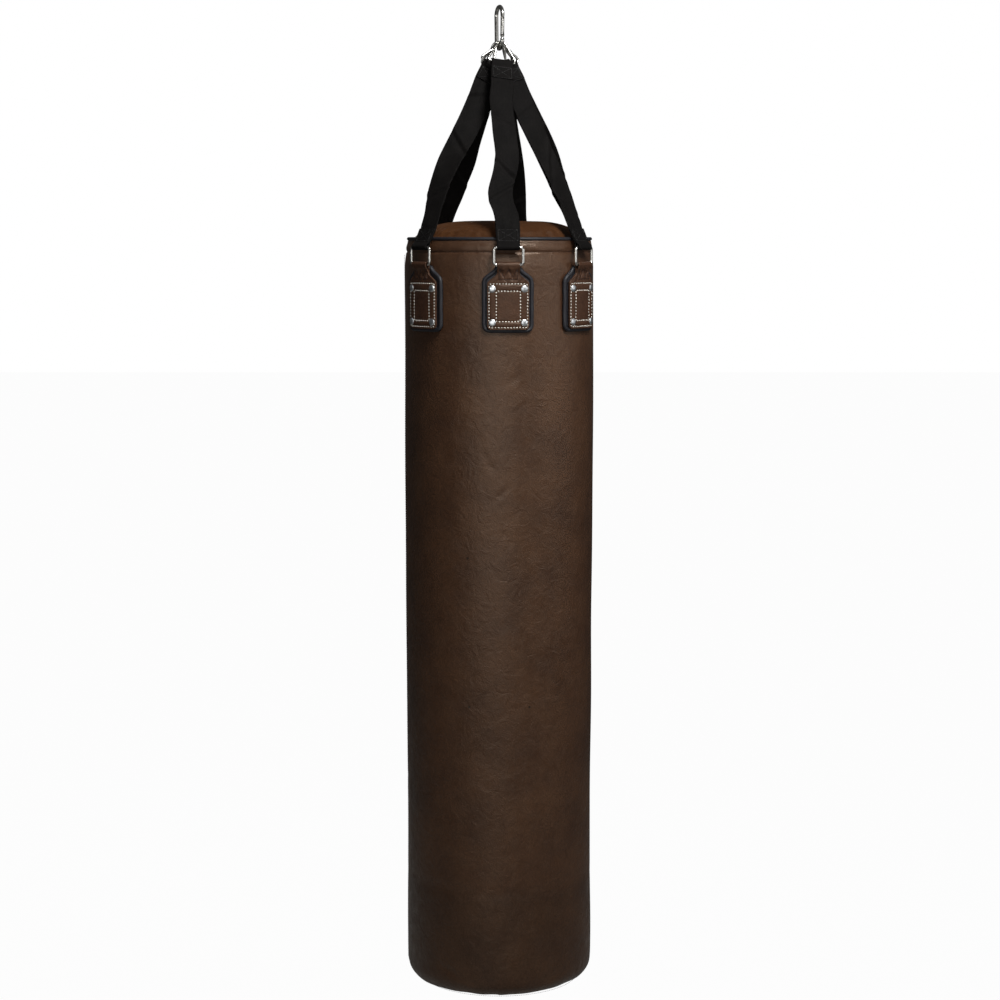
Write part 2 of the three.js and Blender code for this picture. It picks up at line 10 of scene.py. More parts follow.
import bpy
import numpy as np
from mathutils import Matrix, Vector


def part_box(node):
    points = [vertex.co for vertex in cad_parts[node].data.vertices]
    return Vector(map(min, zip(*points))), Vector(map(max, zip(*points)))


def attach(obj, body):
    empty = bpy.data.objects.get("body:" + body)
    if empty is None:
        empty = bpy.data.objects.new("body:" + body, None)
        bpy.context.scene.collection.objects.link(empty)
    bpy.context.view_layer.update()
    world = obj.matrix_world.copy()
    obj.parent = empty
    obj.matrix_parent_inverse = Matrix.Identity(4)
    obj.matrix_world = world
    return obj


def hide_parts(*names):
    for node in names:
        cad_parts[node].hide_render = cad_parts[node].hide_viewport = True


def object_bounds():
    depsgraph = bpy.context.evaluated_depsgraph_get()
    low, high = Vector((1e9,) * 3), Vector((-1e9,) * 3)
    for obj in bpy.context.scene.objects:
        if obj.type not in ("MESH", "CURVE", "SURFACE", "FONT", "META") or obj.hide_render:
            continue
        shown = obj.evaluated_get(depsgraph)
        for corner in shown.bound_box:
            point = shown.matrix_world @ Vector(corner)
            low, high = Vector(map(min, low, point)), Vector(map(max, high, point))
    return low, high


bl_info = {
    "name": "Hanging heavy bag",
    "version": (1, 0, 0),
    "blender": (4, 5, 0),
    "location": "3D View > Sidebar > Heavy bag",
    "description": "Builds a leather heavy bag with its straps, rings, snap hook and stage",
    "category": "Object",
}

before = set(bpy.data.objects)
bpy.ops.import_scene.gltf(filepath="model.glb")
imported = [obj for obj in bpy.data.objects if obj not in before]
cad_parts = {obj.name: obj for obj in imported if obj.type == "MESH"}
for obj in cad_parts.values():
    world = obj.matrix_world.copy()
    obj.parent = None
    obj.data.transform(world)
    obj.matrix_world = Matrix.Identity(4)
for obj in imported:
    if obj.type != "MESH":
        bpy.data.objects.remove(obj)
CAD_BOX = [list(corner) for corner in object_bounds()]

MM = 0.001
TURN = 2 * math.pi
CLOTH_PRESSURE = 4
CLOTH_FRAMES = 20
STATIONS = {  # the tabs' angles in degrees
    "front_left": -50, "front": 5, "front_right": 55, "back_right": 121, "back": 169, "back_left": 221}
CORNERS = [(-1, 0, "upper_left"), (1, 0, "upper_right"), (-1, 1, "lower_left"), (1, 1, "lower_right")]
SADDLE_ORDER = ["front", "front_right", "front_left", "back_right", "back_left", "back"]  # along the bend

SHELL_LOW, SHELL_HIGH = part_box("shell")
RIM = SHELL_HIGH.z + 3.8 * MM  # the shell ends this far under the rim, below the piping
BAG_HEIGHT = RIM - SHELL_LOW.z
BAG_RADIUS = 191 * MM
MOUTH_RADIUS = 186 * MM
BASE_RADIUS = 188 * MM
RING_RADIUS = 203.65 * MM  # from the bag's axis to the rings at the tabs
RING_TOP = -16.5 * MM  # upper bar
RING_LOW = -50.5 * MM  # lower bar
RING_WIDTH = 57.24 * MM


# ---- Colours ----

def linear(hex_colour):
    """An sRGB hex colour as linear red, green and blue: a power of 2.4 above a short straight toe."""
    share = np.array([int(hex_colour[k:k + 2], 16) for k in (0, 2, 4)]) / 255
    return tuple(np.where(share <= 0.04045, share / 12.92, ((share + 0.055) / 1.055) ** 2.4).tolist())


# ---- Sizes and colours that a user may change ----

def length(name, default, description):
    """A length in metres that a user may change."""
    return bpy.props.FloatProperty(
        name=name, default=default, description=description, unit="LENGTH", precision=5)


def power(name, default, description):
    """A lamp's power in watts that a user may change."""
    return bpy.props.FloatProperty(name=name, default=default, description=description, subtype="POWER")


def colour(name, hex_colour, description):
    """A colour that a user may change."""
    return bpy.props.FloatVectorProperty(
        name=name, default=linear(hex_colour), description=description, subtype="COLOR", size=3, min=0, max=1)


class HeavyBagLeather(bpy.types.PropertyGroup):
    """The bag's body, its cap and the piping round its mouth."""

    body: colour("Body leather", "4D3423", "Waxed brown hide of the bag's wall")
    body_dark: colour("Body shade", "3B261A", "Darker, rubbed patches of the hide")
    cap: colour("Cap leather", "4A2D17", "Tan hide of the domed cap")
    swell: length("Swell", 1.3 * MM, "How far the stuffing pushes the wall in and out")
    hem_depth: length("Hem groove", 2.0 * MM, "Depth of the sewn line under the rim")
    hem_drop: length("Hem drop", 26 * MM, "Rim to the sewn line")
    dome_height: length("Dome height", 30 * MM, "Rise of the cap above the rim")
    piping: length("Rim piping", 7 * MM, "Diameter of the piping round the mouth")


class HeavyBagStations(bpy.types.PropertyGroup):
    """The pads, tabs, stitching, rivets and rings at the six tabs."""

    tab: colour("Tab leather", "4A3123", "Reddish brown hide of the tabs")
    vinyl: colour("Pad vinyl", "0B0B0C", "Black vinyl of the pads")
    thread: colour("White thread", "FBF6EA", "Thread of the tabs' two rows")
    piping: length("Pad piping", 8.6 * MM, "Diameter of the rolled edge of a pad")
    puff: length("Channel height", 0.9 * MM, "How far the channel between the rows stands up")
    stitch: length("Stitch length", 2.8 * MM, "Length of a white stitch")
    pitch: length("Stitch pitch", 6.1 * MM, "Distance from stitch to stitch")
    rivet: length("Rivet head", 14 * MM, "Diameter of a rivet's head")


class HeavyBagStraps(bpy.types.PropertyGroup):
    """The webbing straps."""

    webbing: colour("Webbing", "100E0D", "Black webbing")
    width: length("Width", 48 * MM, "Width of the webbing")
    gathered: length("Gathered width", 44.64 * MM, "Width of the webbing where it bunches in a ring")
    thickness: length("Thickness", 2.4 * MM, "Thickness of the webbing")
    fold: length("Fold-back", 38 * MM, "Length of the sewn, doubled ends")
    cup: length("Cupping", 2.2 * MM, "How far the webbing's edges curl between its ends")


class HeavyBagRings(bpy.types.PropertyGroup):
    """The rings at the tabs."""

    ring_wire: length("Ring wire", 6 * MM, "Diameter of the wire of the rings at the tabs")


class HeavyBagStage(bpy.types.PropertyGroup):
    """The floor, the lights and the camera."""

    floor_drop: length("Floor drop", 0.45, "Floor below the bag's base")
    camera_distance: length("Camera distance", 4.75, "Camera in front of the bag's axis")
    lens: bpy.props.FloatProperty(name="Lens", default=83.7, description="Focal length", unit="CAMERA")
    pitch: bpy.props.FloatProperty(
        name="Pitch", default=math.radians(6.41), description="Camera's tilt below the horizon",
        subtype="ANGLE")
    key_power: power("Key light", 21, "Power of the soft light that falls on the upper half")
    front_power: power("Front light", 19, "Power of the wide, weak light behind the camera")
    side_power: power("Side light", 15, "Power of the wide light on the right")
    glint_power: power("Glint lights", 4, "Power of each small light that glints in the metal")
    back_power: power("Back light", 45, "Power of the soft light above and behind")


# ---- Surfaces as arrays ----

def smooth(low, high, value):
    """0 below low, 1 above high, and the cubic 3t^2 - 2t^3 between them."""
    t = np.clip((value - low) / (high - low), 0, 1)
    return t * t * (3 - 2 * t)


def unit(vectors):
    """Vectors made one long, along the last axis."""
    return vectors / np.linalg.norm(vectors, axis=-1, keepdims=True)


def along_line(points, count, closed=False):
    """Points spread evenly along a polyline: each coordinate interpolated over the running length."""
    if closed:
        points = np.vstack([points, points[:1]])
    run = np.concatenate([[0], np.cumsum(np.linalg.norm(np.diff(points, axis=0), axis=1))])
    at = np.linspace(0, run[-1], count + closed)[:count]
    return np.stack([np.interp(at, run, column) for column in points.T], axis=1)


def softened(points, passes):
    """A closed line whose every point becomes the mean of itself and its neighbours, again and again."""
    for _ in range(passes):
        points = (np.roll(points, 1, axis=0) + 2 * points + np.roll(points, -1, axis=0)) / 4
    return points


def arc(x, z, radius, start, end, count):
    """Points of a circle's arc: centre plus radius times cosine and sine."""
    turn = np.linspace(start, end, count)
    return np.stack([x + radius * np.cos(turn), z + radius * np.sin(turn)], axis=1)


def loft(rings, closed=False):
    """A skin over rings of points, rows by columns: each ring closes on itself, and the ends close on the
    first ring (closed) or on their own centres. Gives points, four-sided faces and triangles."""
    rows, columns = rings.shape[:2]
    number = np.arange(rows * columns).reshape(rows, columns)
    last = rows if closed else rows - 1
    here, there = number[:last], np.roll(number, -1, axis=0)[:last]
    corners = [here, np.roll(here, -1, axis=1), np.roll(there, -1, axis=1), there]
    quads = np.stack(corners, axis=-1).reshape(-1, 4)
    points = rings.reshape(-1, 3)
    if closed:
        return points, quads, np.zeros((0, 3), int)
    ends = []
    for ring, centre, turned in ((number[0], rows * columns, True), (number[-1], rows * columns + 1, False)):
        fan = np.stack([ring, np.roll(ring, -1), np.full(columns, centre)], axis=1)
        ends.append(fan[:, ::-1] if turned else fan)
    centres = rings[[0, -1]].mean(axis=1)
    return np.vstack([points, centres]), quads, np.vstack(ends)


def together(surfaces):
    """Several surfaces as one: their faces are numbered on from each other."""
    starts = np.cumsum([0] + [len(s[0]) for s in surfaces[:-1]])
    return tuple(np.vstack([surface[k] + (start if k else 0) for surface, start in zip(surfaces, starts)])
                 for k in range(3))


def outward(points, quads, triangles):
    """The same faces, all turned round if the volume that they enclose comes out negative."""
    corners = np.vstack([quads[:, [0, 1, 2]], quads[:, [0, 2, 3]], triangles])
    a, b, c = (points[corners[:, k]] - points.mean(axis=0) for k in range(3))
    if np.einsum("ij,ij->i", a, np.cross(b, c)).sum() < 0:
        return quads[:, ::-1], triangles[:, ::-1]
    return quads, triangles


def section(half_width, half_height, count, squareness):
    """A rounded oblong: cosine and sine, each raised to 1/squareness with its sign kept."""
    turn = (np.arange(count) + 0.5) / count * TURN
    shape = np.stack([np.cos(turn), np.sin(turn)], axis=1)
    shape = np.sign(shape) * np.abs(shape) ** (1 / squareness)
    return shape * [half_width, half_height]


def directions(path, closed):
    """The unit tangent of a path: the difference of each point's two neighbours."""
    if closed:
        return unit(np.roll(path, -1, axis=0) - np.roll(path, 1, axis=0))
    return unit(np.gradient(path, axis=0))


def swept(path, side, shapes, closed=False):
    """A section carried along a path: point + side*u + (tangent x side)*v, with side made square to the
    tangent. shapes is one section, or one for each point of the path."""
    tangent = directions(path, closed)
    side = np.broadcast_to(side, path.shape)
    side = unit(side - tangent * np.sum(side * tangent, axis=1, keepdims=True))
    up = np.cross(tangent, side)
    shapes = np.broadcast_to(shapes, (len(path), *shapes.shape[-2:]))
    rings = path[:, None] + side[:, None] * shapes[..., :1] + up[:, None] * shapes[..., 1:]
    return loft(rings, closed)


def spun(profile, sides):
    """A profile of radius and height pairs, from axis to axis, turned round Z."""
    turn = np.arange(sides) / sides * TURN
    ring = np.stack([np.sin(turn), -np.cos(turn), np.zeros(sides)], axis=1)
    rise = np.array([0, 0, 1.0])
    return loft(profile[:, None, :1] * ring[None] + profile[:, None, 1:] * rise)


def moved(surface, basis, origin):
    """A surface drawn in X, Y and Z put on three directions (the rows of basis) from an origin."""
    return surface[0] @ np.asarray(basis) + origin, surface[1], surface[2]


def shown(name, data):
    """A new object of that data, in the scene."""
    made = bpy.data.objects.new(name, data)
    bpy.context.scene.collection.objects.link(made)
    return made


def meshed(name, surface):
    """A new mesh of a surface, its faces pointing outwards."""
    points, quads, triangles = surface
    quads, triangles = outward(points, quads, triangles)
    mesh = bpy.data.meshes.new(name)
    mesh.from_pydata(points.tolist(), [], quads.tolist() + triangles.tolist())
    return mesh


def piece(name, surface, material, body, uv=None):
    """The mesh object of a surface, riding on a body, with its material and slot."""
    mesh = meshed(name, surface)
    mesh.shade_smooth()
    if uv is not None:
        corner = np.zeros(len(mesh.loops), np.int32)
        mesh.loops.foreach_get("vertex_index", corner)
        mesh.uv_layers.new(name="surface").data.foreach_set("uv", uv[corner].astype(np.float32).ravel())
    mesh.materials.append(material)
    made = shown(name, mesh)
    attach(made, body)
    return made


def settled(made):
    """The object's mesh with its modifiers applied, and the object left with that mesh alone."""
    applied = bpy.data.meshes.new_from_object(made.evaluated_get(bpy.context.evaluated_depsgraph_get()))
    made.modifiers.clear()
    made.data = applied
    return applied


def swollen(surface, voxel, most, free):
    """A closed surface blown up as stuffed cloth is: an even voxel skin, twenty frames of Cloth under
    pressure with no gravity, and each point's way cut to most and times free(points), 0 where the cloth is
    sewn down."""
    scene = bpy.context.scene
    stuffed = shown("stuffed", meshed("stuffed", surface))
    even = stuffed.modifiers.new("even", "REMESH")
    even.mode, even.voxel_size = "VOXEL", voxel
    skin = settled(stuffed)
    cloth = stuffed.modifiers.new("cloth", "CLOTH")
    cloth.settings.use_pressure = True
    cloth.settings.uniform_pressure_force = CLOTH_PRESSURE
    cloth.settings.effector_weights.gravity = 0
    for number in range(1, CLOTH_FRAMES + 1):
        scene.frame_set(number)
    pressed = stuffed.evaluated_get(bpy.context.evaluated_depsgraph_get()).data
    start, end = (np.zeros(3 * len(skin.vertices), np.float32) for _ in range(2))
    skin.vertices.foreach_get("co", start)
    pressed.vertices.foreach_get("co", end)
    start, way = start.reshape(-1, 3).astype(float), (end - start).reshape(-1, 3).astype(float)
    far = np.linalg.norm(way, axis=1, keepdims=True)
    way *= np.minimum(1, most / np.maximum(far, 1e-9))
    corners = np.array([polygon.vertices[:] for polygon in skin.polygons])
    bpy.data.objects.remove(stuffed)
    scene.frame_set(1)
    return start + way * free(start)[:, None], corners, np.zeros((0, 3), int)


# ---- Places on the bag ----

def outwards(angle):
    """The direction out of the bag at an angle in radians: sine along X, minus cosine along Y."""
    return np.stack([np.sin(angle), -np.cos(angle), np.zeros_like(angle)], axis=-1)


def around(angle):
    """The direction round the bag at an angle: cosine along X, sine along Y."""
    return np.stack([np.cos(angle), np.sin(angle), np.zeros_like(angle)], axis=-1)


def on_bag(angle, radius, height):
    """Places at an angle in radians, a radius from the bag's axis and a height above its rim."""
    place = np.asarray(radius)[..., None] * outwards(angle)
    place[..., 2] = RIM + height
    return place


def round_from(angle, at):
    """How far round the bag an angle in radians is past a place at so many degrees, in m and signed."""
    return (np.mod(angle - math.radians(at) + math.pi, TURN) - math.pi) * BAG_RADIUS


def wall_radius(height, foot):
    """The wall's plain radius: narrower from a height of 0.7 m under the rim down to the foot's height."""
    return np.interp(height, [foot, -0.70, -0.05], [BASE_RADIUS, BAG_RADIUS, BAG_RADIUS])


def mouth_radius(height):
    """The wall's plain radius near the rim, where the cap's seam draws it in over its last 56 mm."""
    return BAG_RADIUS - (BAG_RADIUS - MOUTH_RADIUS) * smooth(0, 1, (height + 60 * MM) / (56 * MM))


def wrapped(angle, across, radius, height, bend=1.0):
    """Places in a tab's frame: across is measured round the bag at the rings' radius, and bend goes from 0,
    flat, to 1, concentric with the bag. Lateral is sin(k*across)*(1/k + lift) and radial the same with the
    cosine, where k is bend over the rings' radius."""
    across, radius, height, bend = np.broadcast_arrays(across, radius, height, bend)
    k = np.maximum(bend, 1e-3) / RING_RADIUS
    reach = 1 / k + radius - RING_RADIUS
    lateral = np.sin(k * across) * reach
    radial = RING_RADIUS - 1 / k + np.cos(k * across) * reach
    turn = np.radians(angle)
    place = lateral[..., None] * around(turn) + radial[..., None] * outwards(turn)
    place[..., 2] = RIM + height
    return place


def stitched(places, along, out, size, sides=6):
    """A stitch at each place: a pill drawn once, a few rings of a squashed ball, and copied to all places
    along the thread's direction, with out as its upper side."""
    turn = np.linspace(0, math.pi, 5)[1:-1]
    ring = section(1, 1, sides, 1)
    reach = np.array([-1, *(-np.cos(turn)), 1]) * size[0] / 2
    spread = np.array([0.45, *(np.sin(turn) ** 0.5), 0.45])
    pill = np.stack([np.repeat(reach, sides),
                     np.outer(spread, ring[:, 0]).ravel() * size[1] / 2,
                     np.outer(spread, ring[:, 1]).ravel() * size[2] / 2], axis=1)
    points, quads, triangles = loft(pill.reshape(len(reach), sides, 3))
    along, out = unit(along), unit(out)
    basis = np.stack([along, np.cross(out, along), out], axis=1)
    placed = np.einsum("pk,nkc->npc", points, basis) + places[:, None]
    step = (np.arange(len(places)) * len(points))[:, None, None]
    return placed.reshape(-1, 3), (quads[None] + step).reshape(-1, 4), (triangles[None] + step).reshape(-1, 3)


# ---- Materials ----

def add_node(tree, kind, settings=None, inputs=None):
    """Adds a shader node. inputs maps a socket's name or number to a value, to the output linked to it, or
    to a node whose first output is linked to it."""
    made = tree.nodes.new("ShaderNode" + kind)
    for key, value in (settings or {}).items():
        setattr(made, key, value)
    for key, value in (inputs or {}).items():
        value = value.outputs[0] if isinstance(value, bpy.types.Node) else value
        if isinstance(value, bpy.types.NodeSocket):
            tree.links.new(value, made.inputs[key])
        else:
            made.inputs[key].default_value = value
    return made


def blank(holder, output):
    """The emptied node tree of a new material or world, and its output node."""
    holder.use_nodes = True
    holder.node_tree.nodes.clear()
    return holder.node_tree, add_node(holder.node_tree, output)


def surfaced(name, build, *values):
    """A new material whose surface is the shader that build(tree, ...) makes in its tree."""
    made = bpy.data.materials.new(name)
    tree, output = blank(made, "OutputMaterial")
    tree.links.new(build(tree, *values).outputs[0], output.inputs[0])
    return made


def per_metre(period):
    """The scale of a noise or cell pattern whose features are that far apart."""
    return 1 / period


def wave_scale(period):
    """The scale of a wave pattern, whose own period is a tenth of pi."""
    return math.pi / 10 / period


def four(rgb):
    """A colour with its alpha."""
    return (*rgb, 1)


def hide(tree, base, shade, roughness, shine, spots, band=None, nicks=()):
    """Waxed cowhide, drum-dyed and rolled: broad uneven dye, pale rubbed marks, and a fine pebbled grain
    that breaks up a satin shine. The real grain is about 0.8 mm; it is drawn at 2.2 mm so that it shows.
    spots is how far apart the patches of dye are, band the heights between which the lowest part darkens."""
    place = add_node(tree, "TexCoord").outputs["Object"]
    dye = add_node(tree, "TexNoise", inputs={
        "Vector": place, "Scale": per_metre(spots), "Detail": 6, "Roughness": 0.62})
    fine = add_node(tree, "TexNoise", inputs={
        "Vector": place, "Scale": per_metre(5 * MM), "Detail": 4, "Roughness": 0.7})
    dyed = add_node(tree, "MapRange", inputs={
        "Value": dye, "From Min": 0.3, "From Max": 0.66})
    tone = add_node(tree, "Mix", {"data_type": "RGBA"}, {
        0: dyed, 6: four(shade), 7: four(base)})
    speckle = add_node(tree, "MapRange", inputs={
        "Value": fine, "From Min": 0.3, "From Max": 0.75, "To Min": 0.82, "To Max": 1.2})
    surface = add_node(tree, "VectorMath", {"operation": "SCALE"}, {
        0: tone.outputs[2], "Scale": speckle})
    for centre in nicks:
        # a nick in the finish, a dark speck 5 mm across; depth counts a quarter, because the wall's own
        # folds lift it a few millimetres from the round
        flatter = add_node(tree, "VectorMath", {"operation": "MULTIPLY"}, {0: place, 1: FLATTER})
        away = add_node(tree, "VectorMath", {"operation": "DISTANCE"}, {
            0: flatter, 1: centre * FLATTER})
        speck = add_node(tree, "MapRange", {"interpolation_type": "SMOOTHSTEP"}, {
            "Value": away.outputs["Value"], "From Min": 1.5 * MM, "From Max": 3.2 * MM,
            "To Min": 0.12, "To Max": 1.0})
        surface = add_node(tree, "VectorMath", {"operation": "SCALE"}, {
            0: surface, "Scale": speck})
    if band is not None:
        # the lowest part, below a line about 0.22 m above the base, is darker
        height = add_node(tree, "SeparateXYZ", inputs={0: place}).outputs[2]
        low = add_node(tree, "MapRange", {"interpolation_type": "SMOOTHSTEP"}, {
            "Value": height, "From Min": band[0], "From Max": band[1], "To Min": 0.76, "To Max": 1.0})
        surface = add_node(tree, "VectorMath", {"operation": "SCALE"}, {
            0: surface, "Scale": low})
    scuff = add_node(tree, "TexNoise", inputs={
        "Vector": place, "Scale": per_metre(22 * MM), "Detail": 8, "Roughness": 0.7, "Distortion": 0.6})
    gloss = add_node(tree, "MapRange", inputs={
        "Value": scuff, "From Min": 0.35, "From Max": 0.68,
        "To Min": roughness - 0.07, "To Max": roughness + 0.12})
    grain = add_node(tree, "TexVoronoi", {"feature": "SMOOTH_F1"}, {
        "Vector": place, "Scale": per_metre(2.2 * MM), "Smoothness": 0.6})
    creased = add_node(tree, "TexNoise", inputs={
        "Vector": place, "Scale": per_metre(28 * MM), "Detail": 5, "Roughness": 0.55, "Distortion": 1.4})
    pebbled = add_node(tree, "Bump", inputs={
        "Strength": 0.5, "Distance": 0.4 * MM, "Height": grain.outputs["Distance"]})
    creases = add_node(tree, "Bump", inputs={
        "Strength": 0.75, "Distance": 2 * MM, "Height": creased, "Normal": pebbled})
    return add_node(tree, "BsdfPrincipled", inputs={
        "Base Color": surface, "Roughness": gloss, "IOR": 1.48,
        "Specular IOR Level": shine, "Specular Tint": four((1, 0.8, 0.64)), "Normal": creases})


def vinyl(tree, base):
    """Calendered black vinyl over foam: nearly even colour, a tight embossed grain and a soft plastic
    shine. The emboss is about 1 mm; it is drawn at 2 mm so that it shows."""
    place = add_node(tree, "TexCoord").outputs["Object"]
    grain = add_node(tree, "TexVoronoi", inputs={"Vector": place, "Scale": per_metre(2 * MM)})
    wear = add_node(tree, "TexNoise", inputs={
        "Vector": place, "Scale": per_metre(18 * MM), "Detail": 5, "Roughness": 0.6})
    gloss = add_node(tree, "MapRange", inputs={
        "Value": wear, "From Min": 0.3, "From Max": 0.7, "To Min": 0.36, "To Max": 0.5})
    pale = add_node(tree, "MapRange", inputs={
        "Value": wear, "From Min": 0.45, "From Max": 0.8, "To Min": 1.0, "To Max": 1.7})
    tone = add_node(tree, "VectorMath", {"operation": "SCALE"}, {0: base, "Scale": pale})
    bump = add_node(tree, "Bump", inputs={
        "Strength": 0.3, "Distance": 0.25 * MM, "Height": grain.outputs["Distance"]})
    return add_node(tree, "BsdfPrincipled", inputs={
        "Base Color": tone, "Roughness": gloss, "IOR": 1.52,
        "Specular IOR Level": 0.22, "Normal": bump})


def woven(tree, base):
    """Woven polypropylene webbing: flat ribs along it, crossed by the weft, matt with a faint sheen. The
    ribs are 3 mm and the weft 2 mm apart, read from the strap's own map in metres."""
    place = add_node(tree, "UVMap", {"uv_map": "surface"})
    ribs = add_node(tree, "TexWave", {"bands_direction": "X"}, {
        "Vector": place, "Scale": wave_scale(3 * MM)})
    weft = add_node(tree, "TexWave", {"bands_direction": "Y"}, {
        "Vector": place, "Scale": wave_scale(2 * MM), "Distortion": 1.0, "Detail": 1})
    weave = add_node(tree, "Math", {"operation": "MULTIPLY"}, {0: ribs.outputs[1], 1: weft.outputs[1]})
    rubbed = add_node(tree, "TexNoise", inputs={
        "Vector": place, "Scale": per_metre(35 * MM), "Detail": 5, "Roughness": 0.65})
    dust = add_node(tree, "MapRange", inputs={
        "Value": rubbed, "From Min": 0.4, "From Max": 0.75, "To Min": 0.8, "To Max": 1.5})
    # painted shade and highlight of the weave: the colour is darker in the hollows between the threads and
    # lighter where they cross, by the same height that drives the bump
    thread = add_node(tree, "MapRange", inputs={
        "Value": weave, "To Min": 0.7, "To Max": 1.25})
    dust_and_weave_shade = add_node(tree, "Math", {"operation": "MULTIPLY"}, {0: dust, 1: thread})
    tone = add_node(tree, "VectorMath", {"operation": "SCALE"}, {0: base, "Scale": dust_and_weave_shade})
    bump = add_node(tree, "Bump", inputs={
        "Strength": 0.6, "Distance": 0.4 * MM, "Height": weave})
    return add_node(tree, "BsdfPrincipled", inputs={
        "Base Color": tone, "Roughness": 0.75, "IOR": 1.49, "Normal": bump,
        "Specular IOR Level": 0.1, "Sheen Weight": 0.01, "Sheen Roughness": 0.45})


def spun_thread(tree, base, twist=0.9 * MM):
    """Bonded polyester or waxed cotton thread: its plies show as a fine slanting ripple, drawn 0.9 mm
    apart, and it shines softly."""
    place = add_node(tree, "TexCoord").outputs["Object"]
    plies = add_node(tree, "TexWave", {"bands_direction": "DIAGONAL"}, {
        "Vector": place, "Scale": wave_scale(twist)})
    soil = add_node(tree, "TexNoise", inputs={
        "Vector": place, "Scale": per_metre(9 * MM), "Detail": 3})
    worn = add_node(tree, "MapRange", inputs={
        "Value": soil, "From Min": 0.35, "From Max": 0.65, "To Min": 0.78, "To Max": 1.0})
    tone = add_node(tree, "VectorMath", {"operation": "SCALE"}, {0: base, "Scale": worn})
    bump = add_node(tree, "Bump", inputs={
        "Strength": 0.4, "Distance": 0.15 * MM, "Height": plies.outputs[1]})
    return add_node(tree, "BsdfPrincipled", inputs={
        "Base Color": tone, "Roughness": 0.55, "Normal": bump})


def plated(tree, base, roughness, haze):
    """Plated steel wire or pressing: a mirror-like metal with fine handling haze, faint pits of the plating
    and duller patches. haze is how much rougher the dull patches are."""
    place = add_node(tree, "TexCoord").outputs["Object"]
    cloud = add_node(tree, "TexNoise", inputs={
        "Vector": place, "Scale": per_metre(12 * MM), "Detail": 6, "Roughness": 0.65})
    gloss = add_node(tree, "MapRange", inputs={
        "Value": cloud, "From Min": 0.35, "From Max": 0.7,
        "To Min": roughness, "To Max": roughness + haze})
    dull = add_node(tree, "MapRange", inputs={
        "Value": cloud, "From Min": 0.3, "From Max": 0.75, "To Min": 1.0, "To Max": 0.82})
    tone = add_node(tree, "VectorMath", {"operation": "SCALE"}, {0: base, "Scale": dull})
    pits = add_node(tree, "TexNoise", inputs={
        "Vector": place, "Scale": per_metre(2.5 * MM), "Detail": 3})
    bump = add_node(tree, "Bump", inputs={
        "Strength": 0.12, "Distance": 0.2 * MM, "Height": pits})
    return add_node(tree, "BsdfPrincipled", inputs={
        "Base Color": tone, "Metallic": 1.0, "Roughness": gloss,
        "Normal": bump})


def rags(tree):
    """Packed shredded textile: grey-beige, dull, with mixed scraps about 25 mm across."""
    place = add_node(tree, "TexCoord").outputs["Object"]
    scraps = add_node(tree, "TexVoronoi", inputs={"Vector": place, "Scale": per_metre(25 * MM)})
    tone = add_node(tree, "Mix", {"data_type": "RGBA"}, {
        0: scraps.outputs["Distance"], 6: four(linear("8A8479")), 7: four(linear("5E5A55"))})
    bump = add_node(tree, "Bump", inputs={
        "Strength": 0.8, "Distance": 3 * MM, "Height": scraps.outputs["Distance"]})
    return add_node(tree, "BsdfPrincipled", inputs={
        "Base Color": tone.outputs[2], "Roughness": 0.95, "Normal": bump})


def material(name):
    """The material of that name, made on first use."""
    known = bpy.data.materials.get(name)
    if known:
        return known
    scene = bpy.context.scene
    leather, stations, straps = scene.heavy_bag_leather, scene.heavy_bag_stations, scene.heavy_bag_straps
    band = (CAD_BOX[0][2] + BAND[0], CAD_BOX[0][2] + BAND[1])
    nicks = [on_bag(np.radians(at), BAG_RADIUS, level) for at, level in NICKS]
    makers = {
        "waxed_cowhide": (hide, leather.body, leather.body_dark, 0.39, 0.8, 90 * MM, band, nicks),
        "tan_cowhide": (hide, leather.cap, linear("3A2110"), 0.55, 0.3, 90 * MM),
        "tab_cowhide": (hide, stations.tab, linear("38241A"), 0.46, 0.5, 35 * MM),
        "black_vinyl": (vinyl, stations.vinyl),
        "polypropylene_webbing": (woven, straps.webbing),
        "white_cotton_thread": (spun_thread, stations.thread),
        "brown_polyester_thread": (spun_thread, linear("2E1B11")),
        "black_polyester_thread": (spun_thread, linear("1B1A19")),
        "bright_nickel_plate": (plated, linear("E8E6E0"), 0.12, 0.14),
        "nickel_rivet_plate": (plated, linear("FAFDFF"), 0.26, 0.14),
        "polished_zinc_steel": (plated, linear("D8D6D0"), 0.14, 0.16),
        "shredded_textile": (rags,),
    }
    return surfaced(name, *makers[name])


# ---- Bag ----

# Folds of the hide: angle, height, heading (degrees, m, degrees), half length, half width and depth (mm)
FOLDS = [
    (7, -0.277, 24, 26, 5, 1.1),
    (-5.6, -0.443, -55, 22, 5, 1.3),
    (1.5, -0.50, 40, 24, 5, 1.1),
    (4, -0.585, -50, 18, 4, 0.9),
    (-28, -1.486, -19, 52, 7, 1.6),
    (31, -1.497, 12, 40, 7, 1.0),
    (20, -0.95, 78, 80, 12, 0.5),
    (-40, -1.10, 82, 95, 14, 0.6),
]
BAND = (0.208, 0.235)  # heights above the floor end between which the hide darkens, in m
SIDE_SEAM = 267  # degrees
BASE_SEAM_RADIUS = 0.163
STITCH_PITCH = 4.6 * MM  # of the body's seams
FLATTER = np.array([1.0, 0.25, 1.0])  # how much each direction counts in the distance from a nick
NICKS = [(-19.4, -0.630), (-18.5, -0.930), (18.3, -0.930)]  # angle in degrees and height in m


